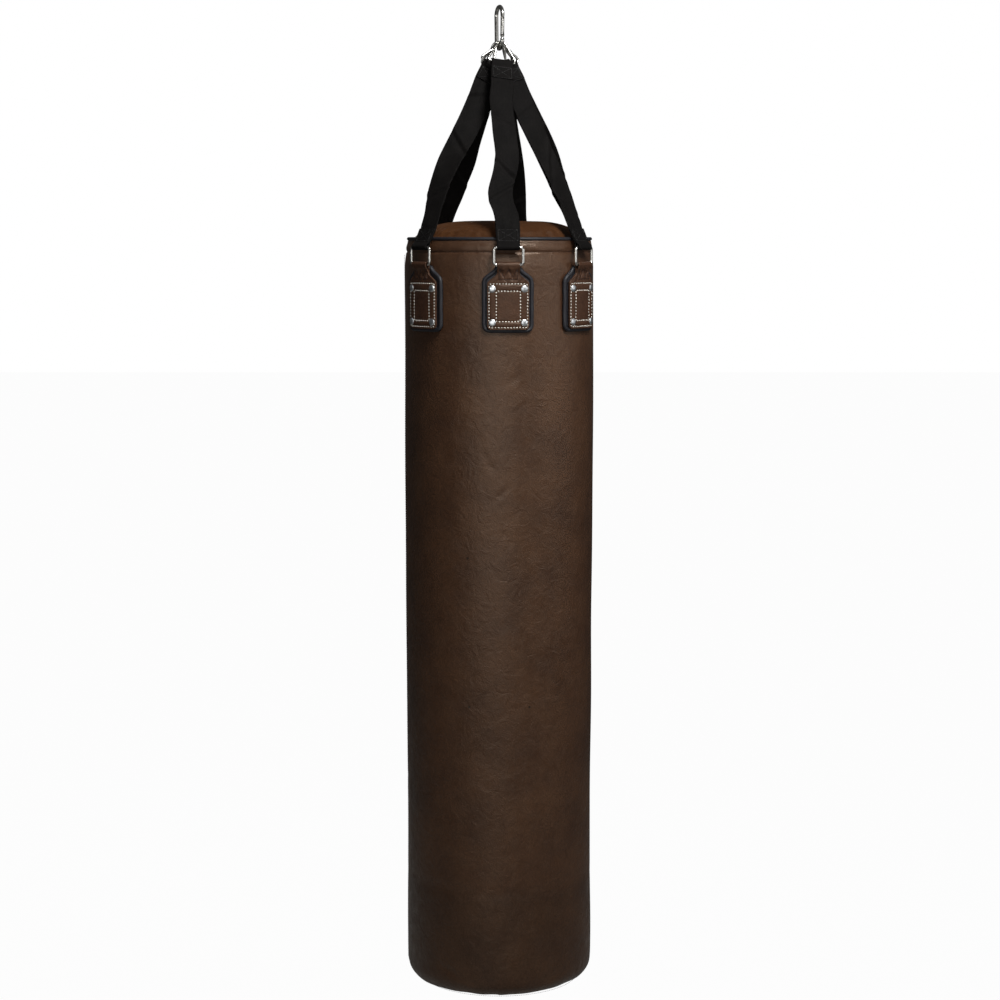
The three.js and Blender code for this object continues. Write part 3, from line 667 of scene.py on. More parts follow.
def waves(angle, height, generator, count, most_round, most_along, reach):
    """Smooth unevenness: a sum of cosines of whole waves round the bag times cosines of half waves over
    the reach, weaker as they get shorter, scaled to about one."""
    around_bag = generator.integers(0, most_round + 1, count)
    upwards = generator.uniform(0.5, most_along, count)
    phase = generator.uniform(0, TURN, (2, count))
    weight = 1 / (1 + 0.35 * around_bag + 0.3 * upwards)
    total = sum(
        w * np.cos(m * angle + p) * np.cos(n * math.pi * height / reach + q)
        for m, n, p, q, w in zip(around_bag, upwards, phase[0], phase[1], weight))
    return total / np.sqrt((weight ** 2).sum() / 4) / 2


def fold(angle, height, where):
    """One fold: a trough, exp(-(across/width)^2), that fades at its ends with exp(-(along/length)^4)."""
    at, level, heading, half_length, half_width, depth = where
    run = round_from(angle, at)
    rise = height - level
    turn = math.radians(heading)
    along = (run * math.cos(turn) + rise * math.sin(turn)) / (half_length * MM)
    across = (rise * math.cos(turn) - run * math.sin(turn)) / (half_width * MM)
    rough = 1 + 0.35 * np.sin(along * 5 + at)
    return -depth * MM * rough * np.exp(-across ** 2 - along ** 4)


def wall_relief(angle, height, sizes):
    """How far the hide stands off the plain turned form: the swell of the stuffing, the sewn hem with its
    puckers, the side seam, the roll near the floor and the folds."""
    generator = np.random.default_rng(7)
    relief = sizes.swell * waves(angle, height, generator, 26, 5, 11, BAG_HEIGHT)
    relief = relief * smooth(0, 0.09, -height)
    from_hem = height + sizes.hem_drop
    run = angle * BAG_RADIUS
    relief -= sizes.hem_depth * np.exp(-(from_hem / (2.0 * MM)) ** 2)
    pucker = np.cos(run / (9 * MM) + 1.7 * np.cos(3 * angle)) * np.cos(run / (31 * MM) + 1)
    relief += 0.45 * MM * pucker * np.exp(-np.abs(from_hem) / (7 * MM))
    relief += 1.4 * MM * np.exp(-((from_hem - 10 * MM) / (7 * MM)) ** 2)
    from_seam = round_from(angle, SIDE_SEAM)
    on_wall = smooth(0.012, 0.03, height + BAG_HEIGHT) * smooth(0.004, 0.02, -height)
    relief += on_wall * 1.4 * MM * smooth(0, 3 * MM, from_seam) * smooth(-14 * MM, -8 * MM, -from_seam)
    relief -= on_wall * 0.7 * MM * np.exp(-((from_seam - 1 * MM) / (2.5 * MM)) ** 2)
    from_floor = height + BAG_HEIGHT
    relief -= 1.0 * MM * (0.7 + 0.5 * np.cos(2 * angle + 0.6)) * np.exp(-((from_floor - 0.222) / 0.012) ** 2)
    relief += 1.3 * MM * np.exp(-((from_floor - 0.12) / 0.07) ** 2) * (0.6 + 0.4 * np.cos(angle - 2.2))
    relief -= 5 * MM * (0.6 + 0.4 * np.sin(angle)) * np.exp(-(from_floor / 0.026) ** 2)
    gathers = np.cos(run / (13 * MM) + 2.1 * np.sin(2 * angle)) * (0.6 + 0.4 * np.cos(5 * angle + 1))
    relief += 0.8 * MM * gathers * np.exp(-np.abs(from_floor - 6 * MM) / (16 * MM))
    elsewhere = np.random.default_rng(21)
    for k in range(14):
        at = 75 + 220 * elsewhere.random()
        where = (at, -0.25 - 1.2 * elsewhere.random(), elsewhere.uniform(-70, 70),
                 elsewhere.uniform(18, 60), elsewhere.uniform(5, 9), elsewhere.uniform(0.4, 1.0))
        relief += fold(angle, height, where)
    for where in FOLDS:
        relief += fold(angle, height, where)
    return relief


def bag_outline(inset):
    """The bag's turned outline as radius and height from the rim, from the middle of the base, round its
    edge, up the wall, over the lip and back to the axis under the cap."""
    edge = 34 * MM
    low = -BAG_HEIGHT
    flat = BASE_RADIUS - edge
    corner = arc(flat, low + edge, edge - inset, -math.pi / 2, 0, 14)
    levels = np.linspace(low + edge, -60 * MM, 236)[1:]
    wall = wall_radius(levels, low + edge) - inset
    mouth_levels = np.linspace(-60 * MM, -4.2 * MM, 40)[1:]
    mouth = mouth_radius(mouth_levels) - inset
    base = np.stack([np.linspace(2 * MM, flat, 36)[:-1], np.full(35, low + inset)], axis=1)
    lip = np.array([[MOUTH_RADIUS - 2 * MM - inset, -3.0 * MM], [MOUTH_RADIUS - 5 * MM - inset, -4.0 * MM],
                    [MOUTH_RADIUS - 6 * MM - inset, -9 * MM], [MOUTH_RADIUS - 8 * MM - inset, -22 * MM],
                    [0.12, -23 * MM], [0.06, -23 * MM], [2 * MM, -23 * MM]])
    return np.vstack([base, corner, np.stack([wall, levels], axis=1),
                      np.stack([mouth, mouth_levels], axis=1), lip])


def bag_surface(inset, columns, sizes):
    """The outline turned round the axis, then moved along its own outward direction by the relief."""
    outline = bag_outline(inset)
    angle = np.arange(columns) / columns * TURN
    tangent = directions(outline, False)
    radial, rise = tangent[:, 1], -tangent[:, 0]
    angles, heights = np.meshgrid(angle, outline[:, 1])
    fade = smooth(0.05, 0.16, outline[:, 0]) * (outline[:, 1] < -4.1 * MM) * (outline[:, 0] > 0.13)
    relief = wall_relief(angles, heights, sizes) * fade[:, None]
    if inset:
        relief = relief * 0
    slack = -4 * MM * (1 - smooth(0, 0.17, outline[:, 0])) * (outline[:, 1] < -1.5)
    sewn = 1.6 * MM * np.exp(-((outline[:, 0] - BASE_SEAM_RADIUS) / (2 * MM)) ** 2) * (outline[:, 1] < -1.525)
    radius = outline[:, :1] + radial[:, None] * relief
    height = outline[:, 1:] + rise[:, None] * relief + (slack + sewn)[:, None]
    return loft(on_bag(angles, radius, height))


def cap_surface(sizes, rows=46, columns=200):
    """The dome: height*(1 - (r/R)^4.5), then down its steep edge to the piping, closed by a flat underside
    in the mouth."""
    share = np.sin(np.linspace(0.004, 1, rows) * math.pi / 2)
    radius = 175 * MM * share
    height = sizes.dome_height * (1 - share ** 4.5)
    edge = MM * np.array([
        [179, -0.5], [181.2, -2.2], [181.2, -8], [180, -16], [175, -20], [90, -20], [1, -20]])
    outline = np.vstack([np.stack([radius, height], axis=1), edge])
    angle = np.arange(columns) / columns * TURN
    angles, radii = np.meshgrid(angle, outline[:, 0])
    return loft(on_bag(angles, radii, outline[:, 1:]))


def cap_relief(points):
    """Rise of the cap's upper face: broad lumps of the stuffing, and puckers by the seam, cos(47*angle)."""
    angle, radius = np.arctan2(points[:, 0], -points[:, 1]), np.hypot(points[:, 0], points[:, 1])
    upper = smooth(-0.5 * MM, 1 * MM, points[:, 2] - RIM)
    lumps = waves(angle, radius, np.random.default_rng(11), 14, 4, 4, 0.19) * 1.1 * MM
    lumps = lumps * smooth(0, 0.05, radius)
    puckers = 0.8 * MM * np.cos(angle * 47 + 1.5 * np.cos(4 * angle)) * smooth(0.13, 0.168, radius)
    return (lumps + puckers) * upper


class HEAVYBAG_OT_body(bpy.types.Operator):
    """Makes the stuffed leather body, its filling and the stitching of its seams"""

    bl_idname = "heavybag.body"
    bl_label = "Body"

    def execute(self, context):
        sizes = context.scene.heavy_bag_leather
        body = piece("bag_body", bag_surface(0, 300, sizes), material("waxed_cowhide"), "bag")
        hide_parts("shell")
        filling = piece("stuffing", bag_surface(7 * MM, 72, sizes), material("shredded_textile"), "bag")
        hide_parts("filling")
        self.seams(sizes)
        return {"FINISHED"}

    def seams(self, sizes):
        """Rows of stitches lie on the relief: round the hem, down the side seam and round the base."""
        thread = material("brown_polyester_thread")
        size = (3.4 * MM, 0.9 * MM, 0.7 * MM)

        def ring_of_angles(radius):
            count = int(TURN * radius / STITCH_PITCH)
            return np.arange(count) / count * TURN

        turn = ring_of_angles(BAG_RADIUS)
        level = np.full(len(turn), -sizes.hem_drop)
        hem = on_bag(turn, mouth_radius(level) + wall_relief(turn, level, sizes) + 0.2 * MM, level)
        rows = [stitched(hem, around(turn), outwards(turn), size)]
        for offset in (5 * MM, 8.5 * MM):
            level = np.linspace(-BAG_HEIGHT + 35 * MM, -34 * MM, 300)
            turn = np.full(300, math.radians(SIDE_SEAM) + offset / BAG_RADIUS)
            plain = wall_radius(level, -BAG_HEIGHT + 30 * MM)
            line = on_bag(turn, plain + wall_relief(turn, level, sizes) + 0.15 * MM, level)
            rows.append(stitched(line, np.broadcast_to([0, 0, 1.0], line.shape), outwards(turn), size))
        turn = ring_of_angles(BASE_SEAM_RADIUS)
        base = on_bag(turn, np.full(len(turn), BASE_SEAM_RADIUS), -BAG_HEIGHT + 1.2 * MM)
        rows.append(stitched(base, around(turn), np.broadcast_to([0, 0, -1.0], base.shape), size))
        piece("body_stitching", together(rows), thread, "bag")


class HEAVYBAG_OT_cap(bpy.types.Operator):
    """Makes the padded cap and the piping round the mouth"""

    bl_idname = "heavybag.cap"
    bl_label = "Cap and piping"

    def execute(self, context):
        sizes = context.scene.heavy_bag_leather
        points, quads, triangles = swollen(
            cap_surface(sizes), 4 * MM, 6 * MM,
            lambda points: 1 - smooth(0.163, 0.178, np.hypot(points[:, 0], points[:, 1])))
        points[:, 2] += cap_relief(points)
        cap = piece("padded_cap", (points, quads, triangles), material("tan_cowhide"), "bag")
        rounded = cap.modifiers.new("rounded", "SUBSURF")
        rounded.levels = rounded.render_levels = 1
        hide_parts("top_cap")
        angle = np.arange(360) / 360 * TURN
        wobble = waves(angle, angle * 0, np.random.default_rng(3), 10, 9, 2, 1) * 0.5 * MM
        path = on_bag(angle, MOUTH_RADIUS - 1.75 * MM + wobble, 0.6 * np.roll(wobble, 90))
        bead = section(sizes.piping / 2, sizes.piping / 2, 16, 1)
        piece("rim_piping", swept(path, outwards(angle), bead, closed=True), material("black_vinyl"), "bag")
        return {"FINISHED"}


# ---- Tabs ----

PAD = {"half": 53.5, "bottom": 183, "shoulder": 82, "neck_end": 58, "neck": 28.5, "top": 52, "corner": 14}
TAB = {"half": 41.5, "bottom": 177, "shoulder": 87, "neck_end": 66, "neck": 22, "top": 40, "corner": 8}


def half_width(depth, plate):
    """Half the width of a bottle-shaped plate at a depth below the rim, in mm: the neck, a smooth shoulder,
    the full width, and a quarter circle at the bottom corner."""
    share = smooth(plate["neck_end"], plate["shoulder"], depth)
    wide = plate["neck"] + (plate["half"] - plate["neck"]) * share
    into = np.clip(depth - plate["bottom"] + plate["corner"], 0, plate["corner"])
    return wide - plate["corner"] + np.sqrt(plate["corner"] ** 2 - into ** 2)


def pad_surface(angle, rows=90, columns=96):
    """A flat cushion: across each row a rounded oblong of the plate's width, crowned where it is free."""
    top, bottom = PAD["top"], PAD["bottom"]
    depth = top + (bottom - top) * (0.5 - 0.5 * np.cos(np.linspace(0.02, 1, rows) * math.pi))
    half = (half_width(depth, PAD) - 2.5) * MM
    shape = section(1, 1, columns, 2.2)
    near_end = np.minimum(smooth(top, top + 6, depth), 1 - smooth(bottom - 6, bottom, depth) * 0.6)
    lift = 194.3 * MM + shape[None, :, 1] * (2.4 * MM * (0.45 + 0.55 * near_end))[:, None]
    return loft(wrapped(angle, shape[None, :, 0] * half[:, None], lift, -depth[:, None] * MM))


def pad_edge(angle, radius, inset, count=300):
    """The pad's outline, drawn in to the piping's middle, softened, and laid on the bag."""
    depth = np.linspace(PAD["top"] + inset, PAD["bottom"] - inset, 160)
    inner = dict(PAD, half=PAD["half"] - inset, neck=PAD["neck"] - inset, bottom=PAD["bottom"] - inset,
                 corner=PAD["corner"] - inset)
    side = half_width(depth, inner)
    line = np.vstack([np.stack([side, depth], axis=1), np.stack([-side, depth], axis=1)[::-1]])
    line = softened(along_line(line, count, closed=True), 14) * MM
    wobble = 0.35 * MM * np.cos(np.arange(count) * TURN / count * 9 + angle)
    return wrapped(angle, line[:, 0], radius + wobble, -line[:, 1])


def row_line(half_across, top, bottom, corner, pitch):
    """Evenly spaced points of a rounded oblong in a tab's plane, in mm, with their directions."""
    x, low, high = half_across - corner, bottom - corner, top + corner
    middles = ((x, low), (-x, low), (-x, high), (x, high))
    line = np.vstack([arc(*middle, corner, k * math.pi / 2, (k + 1) * math.pi / 2, 8)
                      for k, middle in enumerate(middles)])
    around_it = np.linalg.norm(np.diff(np.vstack([line, line[:1]]), axis=0), axis=1).sum()
    points = along_line(line, int(round(around_it / pitch)), closed=True)
    return points, directions(points, True)


ROWS = [(38.3, 87.5, 172.6, 5), (23.8, 101.7, 161, 3)]  # half width, top, bottom and corner, in mm
RIVETS_ACROSS, RIVETS_TOP, RIVETS_DOWN = 31.75, 97, 66  # from the middle, below the rim, and apart, in mm
ZIGZAG = [(-17, 60), (-8.5, 76), (0, 60), (8.5, 76), (17, 60)]  # across and depth, in mm
ZIGZAG_BOX = [(-18, 58), (-18, 79), (18, 79), (18, 58)]


def off_row(x, depth, row):
    """Signed distance in mm from a rounded oblong row of stitching, negative inside it."""
    half_across, top, bottom, corner = row
    across = np.abs(x) - half_across + corner
    down = np.abs(depth - (top + bottom) / 2) - (bottom - top) / 2 + corner
    outside = np.hypot(np.maximum(across, 0), np.maximum(down, 0))
    return outside + np.minimum(np.maximum(across, down), 0) - corner


def tab_relief(x, depth, puff, seed):
    """The tab's outer face, in m above the plain layer: grooves at the rows of stitching, the padded channel
    between them, a little fullness in the middle, dimples at the rivets and wrinkles on the neck."""
    outer, inner = off_row(x, depth, ROWS[0]), off_row(x, depth, ROWS[1])
    between = smooth(0, 5, -outer) * smooth(0, 5, inner)
    relief = puff * between * (1 + 0.3 * np.cos(x / 6.1 + seed) * np.cos(depth / 7.3))
    relief += 0.35 * puff * smooth(0, 12, -inner)
    relief -= 0.5 * MM * (np.exp(-(outer / 1.6) ** 2) + np.exp(-(inner / 1.6) ** 2))
    for side, row, _ in CORNERS:
        from_rivet = np.hypot(x - side * RIVETS_ACROSS, depth - RIVETS_TOP - RIVETS_DOWN * row)
        relief -= 0.8 * MM * np.exp(-(from_rivet / 8.5) ** 4)
    across, down = np.array(ZIGZAG).T
    from_thread = (depth - np.interp(x, across, down)) * 0.47  # the zigzag runs at 28 degrees to the strip
    on_neck = (np.abs(x) < 19) * smooth(54, 58, depth) * (1 - smooth(77, 80, depth))
    relief += on_neck * (0.8 * MM - 1.5 * MM * np.exp(-(from_thread / 1.5) ** 2))
    relief -= 0.7 * MM * np.exp(-((depth - 79.5) / 1.4) ** 2) * (np.abs(x) < 19)
    neck = smooth(52, 58, depth) * (1 - smooth(80, 86, depth))
    ripple = np.cos(x / 2.1 + 1.2 * np.cos(depth / 5 + seed)) * np.cos(depth / 6.5 + x / 15 + seed)
    return relief + 0.7 * MM * neck * ripple


def tab_path():
    """The folded strip's line as radius and height in mm: up the outer layer, out to the bar, round it, and
    down the inner layer."""
    outer, inner = 201.6, 199.0
    bar = (203.65, -50.5)
    eye = 4.65
    rise = np.linspace(0, 1, 24)
    out = np.stack([outer + (bar[0] + eye - outer) * smooth(0, 1, rise), -67 + 16.5 * rise], axis=1)
    line = np.vstack([[[outer, -177.0]], out, arc(*bar, eye, 0, math.pi, 24)[1:],
                      [[inner, -62.0], [inner, -177.0]]])
    return along_line(line, 210)


def tab_surface(angle, sizes, seed, columns=132):
    """A strip of leather with rounded edges along the folded line; its width follows the plate's outline,
    and it bends round the bag where it lies on it. The relief lifts the outer layer's outer face."""
    path = tab_path()
    depth = -path[:, 1]
    tangent = unit(np.gradient(path, axis=0))
    normal = np.stack([tangent[:, 1], -tangent[:, 0]], axis=1)
    half = half_width(depth, TAB)
    half = half - 0.8 * (np.arange(len(path)) > 105)
    spread = np.linspace(-1, 1, columns // 2 - 4)
    across = np.concatenate([spread, [1, 1, 1], spread[::-1], [-1, -1, -1]])
    over = np.concatenate([[-0.95], np.full(len(spread) - 2, -1), [-0.95, -0.5, 0, 0.5, 0.95],
                           np.full(len(spread) - 2, 1), [0.95, 0.5, 0, -0.5]])
    bulge = 0.5 * (1 - over ** 2)
    x = across[None] * half[:, None] + np.sign(across)[None] * bulge[None] * (np.abs(across) == 1)
    lifted = over[None] * 1.28
    top = (over[None] > 0.9) & (np.arange(len(path)) < 100)[:, None]
    edge = np.clip((half[:, None] - np.abs(x)) / 1.5, 0, 1)
    lifted = lifted + top * edge * tab_relief(x, depth[:, None], sizes.puff, seed) / MM
    radius = path[:, :1] + normal[:, :1] * lifted
    height = path[:, 1:] + normal[:, 1:] * lifted
    bend = smooth(60, 84, depth)[:, None]
    return loft(wrapped(angle, x * MM, radius * MM, height * MM, bend))


def tab_thread(angle, lines, headings, lift, size, sizes, seed):
    """Stitches at points of a tab's outer face; its relief there sets how high they sit."""
    x, depth = lines[:, 0], lines[:, 1]
    bend = smooth(60, 84, depth)
    level = 202.9 * MM + np.interp(-depth, [-67, -58], [0, 3.6 * MM]) + lift
    level = level + tab_relief(x, depth, sizes.puff, seed)
    here = wrapped(angle, x * MM, level, -depth * MM, bend)
    ahead = wrapped(angle, (x + 0.1 * headings[:, 0]) * MM, level, -(depth + 0.1 * headings[:, 1]) * MM, bend)
    turn = math.radians(angle) + bend * x * MM / RING_RADIUS
    return stitched(here, ahead - here, outwards(turn), size)


def line_of_stitches(corners, pitch):
    """Points and headings along straight lines between corners, in mm."""
    places, headings = [], []
    for start, end in zip(corners[:-1], corners[1:]):
        start, end = np.array(start, float), np.array(end, float)
        count = max(int(round(np.linalg.norm(end - start) / pitch)), 2)
        share = (np.arange(count) + 0.5) / count
        places.append(start + share[:, None] * (end - start))
        headings.append(np.broadcast_to(unit(end - start), (count, 2)))
    return np.vstack(places), np.vstack(headings)


def rivet_head(diameter, height):
    """A domed head: a short straight edge, then radius R*(cos t)^0.8 and height h*sin t to the middle."""
    edge = 0.6 * MM
    turn = np.linspace(0, math.pi / 2, 9)[:-1]
    dome = np.stack([np.cos(turn) ** 0.8 * diameter / 2, edge + (height - edge) * np.sin(turn)], axis=1)
    return spun(np.vstack([[[0.1 * MM, 0]], [[diameter / 2 - 0.3 * MM, 0]], [[diameter / 2, 0.3 * MM]], dome,
                           [[0.1 * MM, height]]]), 28)


class HEAVYBAG_OT_pads(bpy.types.Operator):
    """Makes the six pads and their rolled edges"""

    bl_idname = "heavybag.pads"
    bl_label = "Pads"

    def execute(self, context):
        sizes = context.scene.heavy_bag_stations
        black = material("black_vinyl")
        for where, angle in STATIONS.items():
            cushion = piece(f"pad_cushion_{where}", pad_surface(angle), black, "bag")
            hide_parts(f"pad_{where}")
            path = pad_edge(angle, 195.4 * MM, sizes.piping / 2 / MM)
            out = unit(path * [1, 1, 0])
            bead = section(sizes.piping / 2, sizes.piping / 2, 14, 1)
            piece(f"pad_piping_{where}", swept(path, out, bead, closed=True), black, "bag")
        return {"FINISHED"}


class HEAVYBAG_OT_tabs(bpy.types.Operator):
    """Makes the six leather tabs with their stitching, rivets and rings"""

    bl_idname = "heavybag.tabs"
    bl_label = "Tabs, rivets and rings"

    def execute(self, context):
        sizes = context.scene.heavy_bag_stations
        wire = context.scene.heavy_bag_rings.ring_wire
        for seed, (where, angle) in enumerate(STATIONS.items()):
            tab = piece(f"leather_tab_{where}", tab_surface(angle, sizes, seed), material("tab_cowhide"),
                        "bag")
            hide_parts(f"tab_{where}")
            self.stitching(where, angle, sizes, seed)
            self.rivets(where, angle, sizes)
            self.ring(where, angle, wire)
        return {"FINISHED"}

    def stitching(self, where, angle, sizes, seed):
        """Two white rows round the tab's body, and a brown zigzag with its closing row on the neck."""
        white = (sizes.stitch, 2.7 * MM, 1.9 * MM)
        rows = [row_line(*row, sizes.pitch / MM) for row in ROWS]
        made = [tab_thread(angle, *row, 0.35 * MM, white, sizes, seed) for row in rows]
        piece(f"tab_rows_{where}", together(made), material("white_cotton_thread"), "bag")
        brown = (3.2 * MM, 1.3 * MM, 0.9 * MM)
        made = [tab_thread(angle, *line_of_stitches(line, 3.8), 0.1 * MM, brown, sizes, seed)
                for line in (ZIGZAG, ZIGZAG_BOX)]
        piece(f"tab_zigzag_{where}", together(made), material("brown_polyester_thread"), "bag")

    def rivets(self, where, angle, sizes):
        """Four domed heads on the tab's outer face, pointing out of the bag."""
        seat = 203.1 * MM
        head = rivet_head(sizes.rivet, 2.6 * MM)
        made = []
        for side, row, _ in CORNERS:
            turn = np.radians(angle) + side * RIVETS_ACROSS * MM / seat
            out = outwards(turn)
            place = on_bag(turn, seat, -(RIVETS_TOP + RIVETS_DOWN * row) * MM)
            made.append(moved(head, [around(turn), [0, 0, 1], out], place))
        heads = piece(f"rivets_{where}", together(made), material("nickel_rivet_plate"), "bag")
        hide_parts(*[f"rivet_{where}_{corner}" for _, _, corner in CORNERS])

    def ring(self, where, angle, wire):
        """Wire along a rounded oblong that stands flat against the bag."""
        half, corner = RING_WIDTH / 2, 6 * MM
        rise = (RING_TOP - RING_LOW) / 2
        line = np.vstack([arc(x * (half - corner), z * (rise - corner), corner, start, start + math.pi / 2, 9)
                          for x, z, start in ((1, -1, -math.pi / 2), (1, 1, 0), (-1, 1, math.pi / 2),
                                              (-1, -1, math.pi))])
        line = along_line(line, 150, closed=True)
        path = wrapped(angle, line[:, 0], RING_RADIUS, (RING_TOP + RING_LOW) / 2 + line[:, 1], 0)
        out = outwards(np.radians(angle))
        made = piece(f"wire_ring_{where}", swept(path, out, section(wire / 2, wire / 2, 16, 1), closed=True),
                     material("bright_nickel_plate"), "bag")
        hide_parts(f"ring_{where}")


# ---- Snap hook and delta rings. The hook's frame is turned about Z; the hook stands in its YZ plane. ----

HOOK_TURN = math.radians(20)
HOOK = {"rod": 8.0, "bend_radius": 16.3, "crown_radius": 18.0, "crown": -14.0, "bend": -62.7,
        "pin_rise": 10.0, "nose": -16.0, "gate": 7.6, "tongue": 3.4}  # mm
SIDE_LEAN = math.asin((HOOK["crown_radius"] - HOOK["bend_radius"]) / (HOOK["crown"] - HOOK["bend"]))
PIN = np.array([-HOOK["bend_radius"] / math.cos(SIDE_LEAN) - HOOK["pin_rise"] * math.tan(SIDE_LEAN),
                HOOK["bend"] + HOOK["pin_rise"]])
ROD_END = HOOK["gate"] / 2 + 2  # the rod stops this far under the pin, and a flat tongue goes on
NOSE = (HOOK["nose"] - PIN[1]) / math.cos(SIDE_LEAN)
TONGUE_LENGTH = 4.5
DELTA_WIRE = 4.5
SADDLE_RADIUS = 12.3 - 0.3 - DELTA_WIRE / 2
SADDLE_STEP = 2 * math.asin((DELTA_WIRE + 0.3) / 2 / SADDLE_RADIUS)
DELTA_LENGTH = 45.0
CROWDING = 1.1  # a ring leans this many times as far as its strap
APEX_RADIUS = 10.75
BASE_CORNER = 5.0
DELTA_PITCH = 10.7
GATHERED = 44.64


def to_row(points):
    """Points in mm in the hook's frame as metres in the bag's: turned about Z."""
    c, s = math.cos(HOOK_TURN), math.sin(HOOK_TURN)
    return points @ np.array([[c, s, 0], [-s, c, 0], [0, 0, 1]]) * MM


def hung(surface):
    """A surface drawn in mm in the hook's frame, put in the bag's."""
    return to_row(surface[0]), surface[1], surface[2]


def on_gate(distance):
    """Points of the gate's line, measured up it from the pin, in the hook's plane."""
    lean = np.array([-math.sin(SIDE_LEAN), math.cos(SIDE_LEAN)])
    return PIN + np.atleast_1d(distance)[:, None] * lean


def hook_surface():
    """A rod swept from its lower tongue round the bend, up the back, over the crown and down to the nose's
    tongue. Its section is round, and a rounded oblong on the two tongues."""
    front = math.pi + SIDE_LEAN
    lower = on_gate(np.array([3.7, 1.5, -1.5, -4, -ROD_END, -ROD_END - 0.01, -ROD_END - 0.8]))
    upper = on_gate(np.array([NOSE + 0.81, NOSE + 0.01, NOSE, NOSE - 1.5, NOSE - 3, NOSE - TONGUE_LENGTH]))
    bend = arc(0, HOOK["bend"], HOOK["bend_radius"], front, TURN - SIDE_LEAN, 48)
    crown = arc(0, HOOK["crown"], HOOK["crown_radius"], -SIDE_LEAN, front, 48)
    back = np.linspace(bend[-1], crown[0], 16)[1:-1]
    plane = np.vstack([lower, bend, back, crown, upper])
    path = np.stack([plane[:, 0] * 0, plane[:, 0], plane[:, 1]], axis=1)
    radius = HOOK["rod"] / 2
    sizes = np.full((len(path), 2), radius)
    sizes[:5] = sizes[-4:] = (HOOK["tongue"] / 2, HOOK["gate"] / 2 - 0.3)
    sizes[5] = sizes[-5] = (radius - 0.5, radius - 0.5)
    sizes[0] = sizes[-1] = (HOOK["tongue"] / 2 - 0.4, HOOK["gate"] / 2 - 1.2)
    return hung(swept(path, [1, 0, 0], section(1, 1, 32, 1)[None] * sizes[:, None]))


def at_pin(surface):
    """A surface in mm drawn with its origin at the pin, Z up the gate's line and X across the hook."""
    c, s = math.cos(SIDE_LEAN), math.sin(SIDE_LEAN)
    return hung(moved(surface, [[1, 0, 0], [0, c, s], [0, -s, c]], [0, *PIN]))


def block(low, high):
    """A box between two corners, as a loft of two squares."""
    square = np.array([[low[0], low[1]], [high[0], low[1]], [high[0], high[1]], [low[0], high[1]]])
    return loft(np.stack([np.column_stack([square, np.full(4, z)]) for z in (low[2], high[2])]))


def delta_place(where):
    """A delta ring's apex middle and its across and up directions in the hook's frame: its apex lies on the
    inside of the bend, and it leans so that its base bar is square to its strap."""
    place = SADDLE_ORDER.index(where) - (len(SADDLE_ORDER) - 1) / 2
    on_bend = place * SADDLE_STEP
    apex = np.array([0, math.sin(on_bend) * SADDLE_RADIUS, HOOK["bend"] - math.cos(on_bend) * SADDLE_RADIUS])
    spread = place * DELTA_PITCH - apex[1]
    down = np.array([0, spread, -math.sqrt(DELTA_LENGTH ** 2 - spread ** 2)]) / DELTA_LENGTH
    foot = strap_foot(where) / MM
    c, s = math.cos(HOOK_TURN), math.sin(HOOK_TURN)
    target = np.array([foot[0] * c + foot[1] * s, foot[1] * c - foot[0] * s, foot[2]]) - apex
    lean = CROWDING * math.atan2(target[0], target @ down)
    sideways = np.array([1.0, 0, 0])
    across = sideways * math.cos(lean) - down * math.sin(lean)
    up = -down * math.cos(lean) - sideways * math.sin(lean)
    return apex + down * APEX_RADIUS, across, up


def delta_surface(where):
    """Wire along a triangle with two tight corners and a wide round apex."""
    x, z = GATHERED / 2 + 0.3, BASE_CORNER + APEX_RADIUS - DELTA_LENGTH
    square = math.atan2(z, x) + math.acos((APEX_RADIUS - BASE_CORNER) / math.hypot(x, z))
    line = np.vstack([arc(x, z, BASE_CORNER, -math.pi / 2, square, 10),
                      arc(0, 0, APEX_RADIUS, square, math.pi - square, 16),
                      arc(-x, z, BASE_CORNER, math.pi - square, 1.5 * math.pi, 10)])
    line = along_line(line, 170, closed=True)
    middle, across, up = delta_place(where)
    path = middle + line[:, :1] * across + line[:, 1:] * up
    wire = section(DELTA_WIRE / 2, DELTA_WIRE / 2, 14, 1)
    return hung(swept(path, np.cross(up, across), wire, closed=True))


